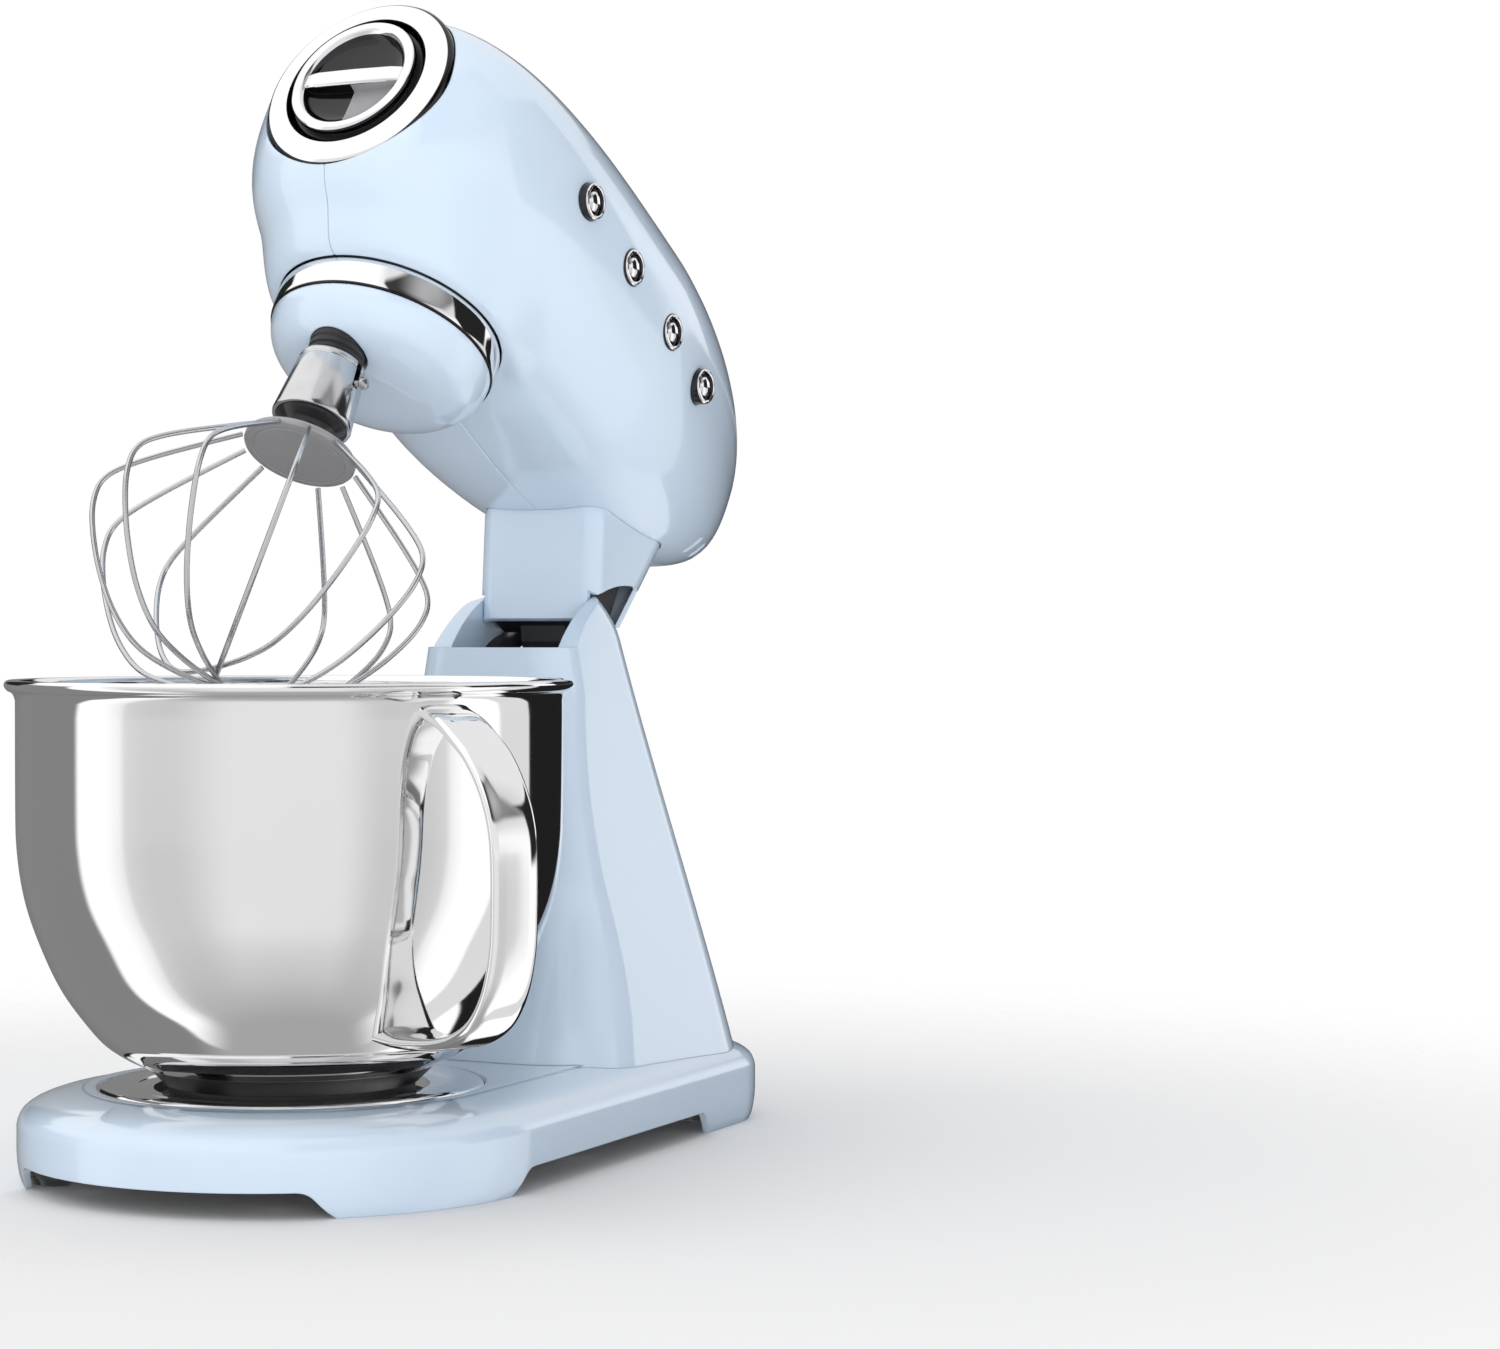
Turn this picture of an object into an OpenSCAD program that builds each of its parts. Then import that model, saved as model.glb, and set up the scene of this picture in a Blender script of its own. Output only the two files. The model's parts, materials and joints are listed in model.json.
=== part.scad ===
// Retro tilt-head stand mixer: base and pedestal, bowl, tilting head, planetary drive and wire whisk.
// Millimetres. Bowl axis on Z through the origin, front toward -Y, table at z = 0.
// Head parts are laid out with the head down, then swung up about the hinge to the resting pose.

/* [Head] */
// Angle the head is raised, degrees
head_tilt = 32.3; // [0:0.1:35]
// Half width of the head
head_w = 75.5; // [70:0.5:84]
// Top of the head when down
head_top = 378; // [365:1:390]
// Underside of the head when down
head_under = 244; // [238:0.5:250]
// Front limit of the head
head_y0 = -81; // [-84:1:-76]
// Rear limit of the head
head_y1 = 269; // [265:1:300]
// Shell thickness
wall = 3; // [2:0.25:5]

/* [Base] */
// Radius of the round front of the base
base_r = 110.5; // [100:0.5:120]
// Rear of the base
base_y1 = 262; // [240:1:280]
// Half width of the base at the rear
base_rear_w = 94; // [85:0.5:110]
// Height of the bowl seat
seat_z = 38; // [34:0.5:44]

/* [Bowl] */
// Outer radius of the bowl wall
bowl_r = 110.6; // [100:0.2:115]
// Height of the bowl rim
rim_z = 200.5; // [180:0.5:210]
// Direction of the handle from the front toward +X, degrees
handle_dir = 67; // [0:1:90]

/* [Drive] */
// Offset of the tool from the bowl axis
orbit = 26; // [22:0.5:28]
// Tooth module of the planetary gears
tooth_m = 1.3; // [1.2:0.05:1.5]
// Radius of the chrome band round the planetary hub
band_r = 49; // [46:0.25:52]

/* [Hidden] */
hinge = [218, 174.4];
ring_teeth = 52;
planet_teeth = 12;
motor_y = 128;
pulley_r = 34;
motor_pulley_r = 9;
head_yc = 95;
head_zc = 320;
neck_w = 32;
tongue_w = 27.4;
collar_r = 66;
ring_y = -71.7;
ring_z = 318.4;
$fn = 64;

blue = [0.80, 0.87, 0.94];
steel = [0.78, 0.78, 0.79];
chrome = [0.88, 0.88, 0.90];
black = [0.10, 0.10, 0.11];
grey = [0.55, 0.56, 0.57];

// ---- placing helpers ----
module raised() {
    translate([0, hinge[0], hinge[1]]) rotate([-head_tilt, 0, 0]) translate([0, -hinge[0],
        -hinge[1]]) children();
}

module across(x0, x1, y, z, r) {
    translate([x0, y, z]) rotate([0, 90, 0]) cylinder(r = r, h = x1 - x0);
}

module tube(r1, r0, z0, z1) {
    translate([0, 0, z0]) difference() {
        cylinder(r = r1, h = z1 - z0);
        translate([0, 0, -1]) cylinder(r = r0, h = z1 - z0 + 2);
    }
}

// ---- closed skins between rings of points; each ring has the same count ----
function grid_faces(rows, cols, wrap) = [for (i = [0:rows - 2], j = [0:cols - (wrap ? 1 : 2)])
    let (a = i * cols + j, b = i * cols + (j + 1) % cols) each [[a, a + cols, b], [b, a + cols, b + cols]]];

module loft(rings) {
    n = len(rings[0]);
    m = len(rings);
    polyhedron([for (r = rings) each r],
        concat(grid_faces(m, n, true), [[for (j = [0:n - 1]) j]], [[for (j = [n - 1:-1:0]) (m - 1) * n + j]]));
}

function curve(c, p) = pow(max(0, 1 - pow(abs(c), p)), 1 / p);

// Rounded box outline: half width, front, rear, front and rear corner radii, k points in each corner
function box_ring(w, y0, y1, rf, rr, z, k = 7) = [for (q = [[w - rf, y0 + rf, rf, -90],
    [w - rr, y1 - rr, rr, 0],
    [rr - w, y1 - rr, rr, 90], [rf - w, y0 + rf, rf, 180]], i = [0:k])
    let (a = q[3] + 90 * i / k) [q[0] + q[2] * cos(a), q[1] + q[2] * sin(a), z]];

// ---- base ----
// Edge profile of the base, inset from the outer radius against height
base_edge = [[-3, 0], [-1, 5], [0, 14], [0, 24], [-1.2, 28], [-4, 31.2], [-9, 33.8], [-18, 36],
    [-30, 37.6], [-38, 38]];

// Outline of the base at one height: round front, sides drawing in, rounded rear corners
function base_ring(inset, z) = let (c = [base_rear_w - 46, base_y1 - 46],
    turn = atan2(c[1], c[0]) - acos((base_r - 46) / norm(c)))
    [for (q = [[[0, 0], base_r, 180 - turn, 180 + 2 * turn, 30], [c, 46, turn, 90 - turn, 8], [[-c[0],
        c[1]], 46, 90, 90 - turn, 8]],
        i = [0:q[4]]) let (a = q[2] + q[3] * i / q[4], p = q[0] + (q[1] - inset) * [cos(a), sin(a)]) [p[0],
            p[1], z]];

module base_body(cut) loft(concat(
    [for (p = base_edge) if (p[1] < seat_z - cut - 0.1) base_ring(cut - p[0],
        p[1] - (cut > 1 ? (p[1] == 0 ? 1 : 0) : 0))],
    [base_ring(cut + 26, seat_z - cut)]));

module base_shell() color(blue) difference() {
    union() {
        difference() {
            base_body(0);
            base_body(wall + 0.5);
        }
        for (p = cover_screws) translate([p[0], p[1], 14.05]) cylinder(r = 4.5, h = 20.6);
    }
    for (p = cover_screws) translate([p[0], p[1], 14]) cylinder(r = 2.05, h = 8);
    // arches between the corner feet
    for (a = [0, 180]) translate([0, 90, 0]) rotate([0, 0, a]) rotate([90, 0, 90])
        linear_extrude(200) polygon([[-96, -1], [-84, 10.5], [84, 10.5], [96, -1]]);
    rotate([90, 0, 0]) linear_extrude(200) polygon([[-76, -1], [-68, 10.5], [68, 10.5], [76, -1]]);
    translate([0, 200, 0]) rotate([90, 0, 180]) linear_extrude(100) polygon([[-76, -1], [-64, 10.5],
        [64, 10.5], [76, -1]]);
    // seat recess and the opening under the pedestal
    translate([0, 0, 20]) cylinder(r = 79, h = 30, $fn = 96);
    translate([-30, 150, 20]) cube([60, 80, 30]);
    // cord inlet slot and the bores of the screw bosses
    translate([-12.1, base_y1 - 14, 14.1]) cube([24.2, 20, 13.2]);
}

module base_cover() color(black) difference() {
    union() {
        translate([0, 0, 11]) cylinder(r = base_r - 5.5, h = 3, $fn = 96);
        for (x = [-41, 41], y = [154, 212]) translate([x, y, 13]) cylinder(r = 3, h = 4);
        translate([0, 0, 11]) linear_extrude(3) polygon([[-105, 0], [105, 0], [88, 205], [60, 256],
            [-60, 256], [-88, 205]]);
    }
    for (p = cover_screws) translate([p[0], p[1], 10]) cylinder(r = 2.4, h = 6);
    for (i = [-4:4]) translate([i * 9 - 2, 165, 10]) cube([4, 34, 6]);
    translate([-12.2, 236, 10]) cube([24.4, 30, 6]);
}

foot_spots = [[-72, -60], [72, -60], [-70, 222], [70, 222]];
cover_screws = [[-46, -72], [46, -72], [-44, 226], [44, 226], [-80, 90], [80, 90]];

module base_cover_screws() color(steel) for (p = cover_screws) translate([p[0], p[1], 9]) {
    cylinder(r = 4, h = 1.9);
    translate([0, 0, 1.9]) cylinder(r = 2, h = 8);
}

module rubber_feet() color(black) for (p = foot_spots) translate([p[0], p[1], 0]) {
    cylinder(r1 = 10.5, r2 = 12, h = 3);
    translate([0, 0, 3]) cylinder(r = 12, h = 8);
}

module bowl_seat_ring() color(chrome) difference() {
    rotate_extrude($fn = 96) polygon([[56, 33], [78.5, 33], [78.5, 36.4], [77, 38.2], [75.5, 38.8], [64, 38.2],
        [63, 37.4], [56, 37.4]]);
    for (a = lug_angles) rotate([0, 0, a + unlock_turn]) translate([50, -11, 30]) cube([11, 22, 12]);
}

lug_angles = [20, 140, 260];
unlock_turn = 28;

module twist_lock_plate() color(black) difference() {
    union() {
        translate([0, 0, 26]) cylinder(r = 78.5, h = 3, $fn = 96);
        tube(78.5, 61.5, 29, 33);
    }
    translate([0, 0, 25]) cylinder(r = 8, h = 6);
}

module control_board() color([0.10, 0.35, 0.20]) {
    translate([-45, 150, 17]) cube([90, 66, 1.6]);
    for (i = [0:2]) translate([-34 + 26 * i, 162, 18.6]) cylinder(r = 5, h = 5);
    translate([-38, 186, 18.6]) cube([24, 18, 6]);
    translate([6, 184, 18.6]) cube([30, 22, 5]);
}

module power_inlet() color(black) difference() {
    translate([-12, base_y1 - 12, 14.2]) cube([24, 13, 13]);
    translate([0, base_y1 + 2, 20.5]) rotate([90, 0, 0]) cylinder(r = 3.6, h = 30);
}

// ---- pedestal ----
// height, half width, front, rear
function ped_ring(z, d) = let (
    v = max(0, 1 - (z - seat_z) / 200),
    w = 35 + 52 * pow(v, 1.35),
    y0 = 124 + 23 * pow(min(1, max(0, (z - 110) / 85)), 1.4) - 34 * pow(max(0, 1 - (z - 36) / 110), 3),
    y1 = 213 + 36 * pow(v, 0.75) - (z > 218 ? 0.03 * pow(z - 218, 2) : 0),
    r = 18 + 20 * pow(v, 3))
    box_ring(w - d, y0 + d, y1 - d, r - d, r + 4 - d, z);

module pedestal_skin(d, z0, z1) loft([for (i = [0:16]) ped_ring(z0 + (z1 - z0) * i / 16, d)]);

module pedestal_shell() color(blue) difference() {
    pedestal_skin(0, 27, 242);
    base_body(-0.05);
    pedestal_skin(wall + 0.5, 20, 156);
    // gap between the ears, open at the rear, with a lip left at the front
    translate([-ear_gap, 152, 146]) cube([2 * ear_gap, 100, 100]);
    translate([-ear_gap, 100, 215]) cube([2 * ear_gap, 60, 40]);
    // ear tops follow the swing of the head
    difference() {
        translate([-60, 100, 215]) cube([120, 140, 40]);
        across(-70, 70, hinge[0], hinge[1], ear_top_r);
    }
    across(-37, 37, hinge[0], hinge[1], 5);
    translate([0, 248, 118]) rotate([90, 0, 0]) cylinder(r = 10, h = 30);
}

ear_gap = 28.2;
ear_top_r = 67.6;

module pivot_cover() color(black) difference() {
    across(-ear_gap, ear_gap, hinge[0], hinge[1], 48);
    across(-14, 14, hinge[0], hinge[1], 49);
    across(-40, 40, hinge[0], hinge[1], 44);
    translate([-40, hinge[0] - 60, hinge[1] - 60]) cube([80, 120, 66]);
    translate([-40, 222, 150]) cube([80, 60, 90]);
}

module hinge_pin() color(steel) across(-36.5, 36.5, hinge[0], hinge[1], 4.98);

module hinge_bushes() color([0.75, 0.6, 0.3]) for (s = [0, 1]) mirror([s, 0, 0]) difference() {
    across(12.3, 28, hinge[0], hinge[1], 8.4);
    across(11, 30, hinge[0], hinge[1], 5);
}

module release_button() color(black) {
    translate([0, 243, 118]) rotate([90, 0, 0]) cylinder(r = 9.6, h = 16);
    translate([0, 227.01, 118]) rotate([90, 0, 0]) cylinder(r = 4, h = 18);
}

module release_spring() color(steel) translate([0, 222.9, 118]) rotate([90, 0, 0]) difference() {
    cylinder(r = 6.4, h = 12);
    translate([0, 0, -1]) cylinder(r = 4.6, h = 16);
}

// ---- head structure ----
module hinge_arm() color(black) raised() difference() {
    union() {
        across(-12, 12, hinge[0], hinge[1], 8.6);
        translate([-12, 163, 212]) cube([24, 29, 44]);
        // closes the neck above the pivot cover
        difference() {
            translate([-24, 167, 206]) cube([48, 21, 30]);
            across(-40, 40, hinge[0], hinge[1], 49.5);
        }
        translate([-12, 0, 0]) rotate([90, 0, 90]) linear_extrude(24)
            polygon([[211, 176], [224.6, 178], [193, 214], [192, 222], [168, 214], [178, 200]]);
    }
    across(-20, 20, hinge[0], hinge[1], 5.06);
}

module neck_block(d, z0, z1) {
    intersection() {
        loft([for (i = [0:5]) let (z = z0 + (z1 - z0) * i / 5, q = (z - 207) / 41)
            box_ring(neck_w - d, 163 - 22 * min(1, q) + d, 194 + 9 * q - d, 10 - d, 13 - d, z)]);
        union() {
            difference() {
                translate([-60, 100, 216]) cube([120, 140, 80]);
                across(-70, 70, hinge[0], hinge[1], ear_top_r + 0.9 + d);
            }
            translate([-tongue_w + d, 100, 195]) cube([2 * tongue_w - 2 * d, 140, 80]);
        }
    }
}

module neck_cover() color(blue) raised() difference() {
    neck_block(0, 204, 266);
    neck_block(2.4, 200, 270);
    across(-40, 40, hinge[0], hinge[1], 49.5);
    translate([-26.2, 100, 252.8]) cube([52.4, 60, 5.4]);
    translate([-12.3, 180, 195]) cube([24.6, 30, 21]);
}

function head_ring_pt(t, a, d) = let (
    f = t < 0,
    y = head_yc + t * (f ? head_yc - head_y0 - d : head_y1 - head_yc - d),
    w = (head_w - d) * curve(t, f ? 3.3 : 1.68),
    hu = (head_top - head_zc - d) * curve(t, f ? 3.4 : 2.0),
    hl = (head_zc - head_under - d) * curve(t, f ? 4.1 : 1.85),
    c = cos(a), s = sin(a), n = s < 0 ? 2.7 : 2.15,
    x = w * pow(abs(c), 2 / n),
    z = head_zc + (s < 0 ? -hl : hu) * pow(abs(s), 2 / n),
    q = max(0, min(1, (collar_r - norm([x, y])) / (collar_r - band_r - 1.5))))
    [x, y, s < 0 ? z + (min(z, head_under + 2.8 + d) - z) * q * q * (3 - 2 * q) : z];

// One side of the head: outer and inner skins joined along the middle plane and at both ends
module head_half() {
    ns = 30;
    na = 24;
    outer = [for (i = [1:ns - 1], j = [0:na]) head_ring_pt(-cos(180 * i / ns), 180 * j / na - 90, 0)];
    inner = [for (i = [1:ns - 1], j = [0:na]) head_ring_pt(-cos(180 * i / ns), 180 * j / na - 90, wall)];
    function cols() = na + 1;
    n = (ns - 1) * cols();
    function id(i, j, k) = k * n + i * cols() + j;
    m = ns - 2;
    polyhedron(concat(outer, inner), concat(
        [for (i = [0:m - 1], j = [0:na - 1]) each [[id(i, j, 0), id(i, j + 1, 0), id(i + 1, j, 0)],
            [id(i, j + 1, 0), id(i + 1, j + 1, 0), id(i + 1, j, 0)]]],
        [for (i = [0:m - 1], j = [0:na - 1]) each [[id(i, j, 1), id(i + 1, j, 1), id(i, j + 1, 1)],
            [id(i, j + 1, 1), id(i + 1, j, 1), id(i + 1, j + 1, 1)]]],
        [for (i = [0:m - 1]) each [[id(i, 0, 0), id(i + 1, 0, 0), id(i, 0, 1)],
            [id(i + 1, 0, 0), id(i + 1, 0, 1), id(i, 0, 1)],
            [id(i, na, 0), id(i, na, 1), id(i + 1, na, 0)], [id(i + 1, na, 0), id(i, na, 1), id(i + 1, na,
                1)]]],
        [for (j = [0:na - 1]) each [[id(0, j, 0), id(0, j, 1), id(0, j + 1, 0)],
            [id(0, j + 1, 0), id(0, j, 1), id(0, j + 1, 1)],
            [id(m, j, 0), id(m, j + 1, 0), id(m, j, 1)], [id(m, j + 1, 0), id(m, j + 1, 1), id(m, j, 1)]]]));
}

module at_ring() translate([0, ring_y, ring_z]) rotate([90, 0, 0]) children();

module head_shell_right() color(blue) raised() difference() {
    head_half();
    at_ring() translate([0, 0, -30]) cylinder(r = 44.2, h = 60);
    translate([0, 0, 236]) cylinder(r = band_r + 0.4, h = 23, $fn = 96);
    translate([0, 0, -0.01]) loft([for (i = [0:3]) let (z = 236 + 11 * i, q = (z - 207) / 41)
        box_ring(neck_w + 0.2, 162.8 - 22 * min(1, q), 194.2 + 9 * q, 10, 13, z)]);
    translate([-1, 86, 368]) cube([5, 46, 14]);
    for (p = stud_spots) across(head_w - 14, head_w + 10, p[0], p[1], 8.05);
    for (i = [0:2]) skin_patch(0.72 + 0.075 * i, 0.755 + 0.075 * i, -58, -34, -1, wall + 1);
}

module head_shell_left() color(blue) mirror([1, 0, 0]) head_shell_right();

// Patch that follows the head surface between two depths, on the +X side
module skin_patch(t0, t1, a0, a1, d0, d1) {
    k = 4;
    loft([for (i = [0:k]) let (a = a0 + (a1 - a0) * i / k)
        [head_ring_pt(t0, a, d0), head_ring_pt(t1, a, d0), head_ring_pt(t1, a, d1), head_ring_pt(t0, a, d1)]]);
}

module head_screws() color(steel) raised() for (p = [[60, 366], [225, 340], [225, 290]]) {
    across(-20, 20, p[0], p[1], 1.6);
    for (s = [-1, 1]) translate([s * 20, p[0], p[1]]) rotate([0, 90, 0]) cylinder(r = 3, h = 2, center = true);
}

module front_ring() color(chrome) raised() at_ring() rotate_extrude($fn = 96)
    polygon([[31, -6], [43.8, -6], [44, -0.5], [43.2, 1.6], [41.4, 2.6], [33, 4.4], [31, 3.6]]);

module hub_socket() color(steel) raised() at_ring() difference() {
    union() {
        translate([0, 0, -34]) cylinder(r = 20, h = 24);
        translate([0, 0, -12]) cylinder(r = 30.4, h = 14);
        translate([0, 0, -34]) cylinder(r = 26, h = 4);
    }
    translate([0, 0, -31]) cylinder(r = 15, h = 60);
    translate([0, 0, -40]) cylinder(r = 8, h = 30);
    translate([0, 0, -8]) cylinder(r = 27, h = 20);
}

module hub_cap() color(chrome) raised() at_ring() difference() {
    union() {
        translate([0, 0, -7]) cylinder(r = 26.6, h = 12);
        translate([0, 0, -28]) cylinder(r = 14.7, h = 22);
        rotate_extrude() polygon([[0, 4], [30.2, 4], [30.2, 6.4], [28.6, 7.6], [0, 7.6]]);
    }
    // finger dish either side of a grip bar
    difference() {
        translate([0, 0, 2]) cylinder(r1 = 19, r2 = 25, h = 7);
        translate([-30, -4, 0]) cube([60, 8, 12]);
    }
    translate([0, 0, -40]) cylinder(r = 7, h = 30);
}

module hub_drive_shaft() color(steel) raised() at_ring() {
    translate([0, 0, -54]) cylinder(r = 5, h = 26);
    translate([-4, -4, -28.01]) cube([8, 8, 14]);
}

stud_spots = [[8, 315], [50, 312], [93, 309], [130, 306]];

module studs() raised() for (p = stud_spots)
    translate([0, p[0], p[1]]) rotate([0, 90, 0]) difference() {
        translate([0, 0, head_w - 12]) cylinder(r = 8, h = 13.4);
        translate([0, 0, head_w - 13]) cylinder(r = 5.5, h = 10);
    }

module trim_studs_right() color(chrome) studs();
module trim_studs_left() color(chrome) mirror([1, 0, 0]) studs();

module rear_vent_grille() color(black) raised() for (s = [0, 1]) mirror([s, 0, 0])
    skin_patch(0.68, 0.93, -62, -30, wall + 0.1, wall + 1.3);

module speed_lever() color(chrome) raised() translate([0, 101, 0]) {
    translate([-2.4, -5, 362]) cube([4.8, 10, 18]);
    translate([0, 0, 379]) rotate_extrude() polygon([[0, 0], [7, 0], [8.4, 1.4], [8, 3.2], [6, 4.6], [0, 5.2]]);
}

// ---- drive ----
module head_frame() color([0.7, 0.71, 0.72]) raised() difference() {
    union() {
        translate([-26, 40, 253]) cube([52, 158, 5]);
        tube(47, 38, 247, 258);
        for (x = [-26, 20], y = [46, 166]) translate([x, y, 256]) cube([6, 32, y > 100 ? 30 : 10]);
    }
    translate([0, 0, 246]) cylinder(r = 38, h = 14);
    translate([-12.05, 159.95, 240]) cube([24.1, 32.1, 20]);
}

module gearbox_housing() color([0.7, 0.71, 0.72]) raised() difference() {
    union() {
        translate([0, 0, 258]) cylinder(r = 44, h = 5);
        translate([0, 0, 262]) cylinder(r = 14, h = 64);
        for (a = [30:60:330]) rotate([0, 0, a]) translate([10, -1.5, 262]) cube([30, 3, 16]);
        translate([-20, 38, 258]) cube([40, 36, 5]);
        at_ring() translate([0, 0, -58.2]) cylinder(r = 9, h = 20);
    }
    at_ring() translate([0, 0, -54.4]) cylinder(r = 5.06, h = 20);
    translate([0, 0, 256]) cylinder(r = 8.5, h = 80);
    translate([0, 0, 257]) cylinder(r = 11, h = 9);
    translate([0, 0, 318]) cylinder(r = 11, h = 9);
}

module shaft_bearings() color(steel) raised() for (z = [258, 318]) tube(10.96, 5, z, z + 8);

module planetary_shaft() color(steel) raised() {
    translate([0, 0, 244]) cylinder(r = 4.96, h = 110);
    translate([0, 0, 351]) cylinder(r = 8, h = 3);
}

module drive_pulley() color(grey) raised() difference() {
    union() {
        translate([0, 0, 332]) cylinder(r = pulley_r, h = 12);
        for (z = [331, 344]) translate([0, 0, z]) cylinder(r = pulley_r + 2.5, h = 1.2);
    }
    translate([0, 0, 330]) cylinder(r = 4.96, h = 20);
    for (a = [0:60:300]) rotate([0, 0, a]) translate([20, 0, 330]) cylinder(r = 6, h = 20);
}

module motor_pulley() color(steel) raised() translate([0, motor_y, 0]) difference() {
    union() {
        translate([0, 0, 332]) cylinder(r = motor_pulley_r, h = 12);
        for (z = [331, 344]) translate([0, 0, z]) cylinder(r = motor_pulley_r + 2, h = 1);
    }
    translate([0, 0, 330]) cylinder(r = 3, h = 20);
}

module drive_belt() color(black) raised() translate([0, 0, 333]) difference() {
    linear_extrude(10) belt_area(2.2);
    translate([0, 0, -1]) linear_extrude(12) belt_area(0.4);
}

module belt_area(d) {
    a = asin((pulley_r - motor_pulley_r) / motor_y);
    circle(r = pulley_r + d);
    translate([0, motor_y]) circle(r = motor_pulley_r + d);
    polygon([for (q = [[1, pulley_r + d, 0], [1, motor_pulley_r + d, motor_y],
        [-1, motor_pulley_r + d, motor_y],
        [-1, pulley_r + d, 0]]) [q[0] * q[1] * cos(a), q[2] + q[1] * sin(a)]]);
}

module motor_stator() color([0.35, 0.36, 0.38]) raised() translate([0, motor_y, 0]) {
    difference() {
        translate([0, 0, 268]) intersection() {
            cylinder(r = 42, h = 36);
            translate([-36, -36, 0]) cube([72, 72, 36]);
        }
        translate([0, 0, 267]) cylinder(r = 23, h = 38);
    }
    for (s = [-1, 1]) translate([s * 30, 0, 304]) rotate([0, 0, 0]) difference() {
        translate([-5, -22, 0]) cube([10, 44, 9]);
        translate([-2, -14, -1]) cube([4, 28, 12]);
    }
    for (a = [45:90:315]) rotate([0, 0, a]) translate([36, 0, 258]) cylinder(r = 2.5, h = 10.01);
    difference() {
        translate([-30, -8, 313]) cube([60, 16, 4]);
        translate([0, 0, 312]) cylinder(r = 3.4, h = 6);
    }
}

module motor_rotor() color([0.5, 0.4, 0.3]) raised() translate([0, motor_y, 0]) {
    translate([0, 0, 259]) cylinder(r = 3, h = 90);
    difference() {
        translate([0, 0, 269]) cylinder(r = 22.2, h = 34);
        for (a = [0:30:330]) rotate([0, 0, a]) translate([17, -1, 268]) cube([8, 2, 36]);
    }
    translate([0, 0, 303]) cylinder(r = 10, h = 8);
}

module cooling_fan() color(black) raised() translate([0, motor_y, 0]) difference() {
    union() {
        translate([0, 0, 319.5]) cylinder(r = 8, h = 9);
        translate([0, 0, 319.5]) cylinder(r = 24, h = 1.5);
        for (a = [0:40:320]) rotate([0, 0, a]) translate([7, -0.8, 320]) cube([17, 1.6, 8]);
    }
    translate([0, 0, 318]) cylinder(r = 3, h = 12);
}

// Involute gear outline, 25 degree teeth; g is half the side clearance
function inv_pt(rb, r) = let (t = sqrt(max(0, pow(r / rb, 2) - 1)) * 180 / PI, f = t - acos(rb / r)) f;
function gear_outline(n, r0, r1, g) = let (rp = tooth_m * n / 2, rb = rp * cos(25), ra = max(r0, rb + 0.001),
    half = 90 / n - g / rp * 180 / PI + inv_pt(rb, rp))
    [for (i = [0:n - 1]) each concat(r0 < rb ? [pol(r0, 360 * i / n - half)] : [],
        [for (k = [0:4]) let (r = ra + (r1 - ra) * k / 4) pol(r, 360 * i / n - half + inv_pt(rb, r))],
        [for (k = [4:-1:0]) let (r = ra + (r1 - ra) * k / 4) pol(r, 360 * i / n + half - inv_pt(rb, r))],
        r0 < rb ? [pol(r0, 360 * i / n + half)] : [])];
function pol(r, a) = [r * cos(a), r * sin(a)];
ring_r = tooth_m * ring_teeth / 2;
planet_r = tooth_m * planet_teeth / 2;

module ring_gear() color(steel) raised() translate([0, 0, 246]) difference() {
    cylinder(r = 37.9, h = 10);
    translate([0, 0, -1]) linear_extrude(12) rotate([0, 0, -90])
        polygon(gear_outline(ring_teeth, ring_r - tooth_m * 0.95, ring_r + tooth_m * 1.25, -0.16));
}

module planet_pinion() color(steel) raised() translate([0, -orbit, 247]) difference() {
    rotate([0, 0, -90]) linear_extrude(8) polygon(gear_outline(planet_teeth, planet_r - tooth_m * 1.2,
        planet_r + tooth_m * 0.9, 0.16));
    translate([0, 0, -1]) cylinder(r = 4, h = 10);
}

module planet_carrier() color([0.7, 0.71, 0.72]) raised() difference() {
    union() {
        translate([0, 0, 234]) cylinder(r = 43, h = 10);
        translate([0, -orbit, 228]) cylinder(r = 11.6, h = 10);
        translate([0, 0, 243]) cylinder(r = 12, h = 8);
    }
    translate([0, 0, 243.5]) cylinder(r = 4.96, h = 20);
    translate([0, -orbit, 220]) cylinder(r = 4.1, h = 40);
    translate([0, -orbit, 240]) cylinder(r = 11, h = 20);
    for (a = [0:60:300]) rotate([0, 0, a]) translate([30, 0, 236])
        cylinder(r = a == 240 || a == 300 ? 0.5 : 6, h = 20);
}

module planetary_cap() color(blue) raised() difference() {
    rotate_extrude($fn = 96) polygon([[0, 212.8], [20, 213.2], [33, 215.6], [40, 219], [45, 224.2], [47.4, 229.2],
        [48.2, 233], [45.5, 233], [45.5, 237], [43.2, 237], [43.2, 233.8], [0, 233.8]]);
    translate([0, -orbit, 205]) cylinder(r = 12.4, h = 45);
}

module chrome_band() color(chrome) raised() rotate_extrude($fn = 96)
    polygon([[46.2, 233.4], [band_r, 233.4], [band_r + 0.2, 240], [band_r, 246], [47.2, 246.9], [46.2, 246.9]]);

module tool_bush() color(black) raised() translate([0, -orbit, 0]) difference() {
    union() {
        translate([0, 0, 209.2]) cylinder(r = 12.1, h = 5);
        translate([0, 0, 213]) cylinder(r = 12.3, h = 14.9);
    }
    translate([0, 0, 205]) cylinder(r = 4.4, h = 25);
    rotate_extrude() polygon([[0, 208], [10, 208], [7, 212], [0, 212]]);
}

module tool_shaft() color(steel) raised() translate([0, -orbit, 0]) difference() {
    union() {
        translate([0, 0, 182]) cylinder(r = 3.96, h = 74);
        translate([0, 0, 255.2]) cylinder(r = 6, h = 1.6);
    }
    translate([-10, 0, 197.4]) rotate([0, 90, 0]) cylinder(r = 1.5, h = 20);
}

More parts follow.
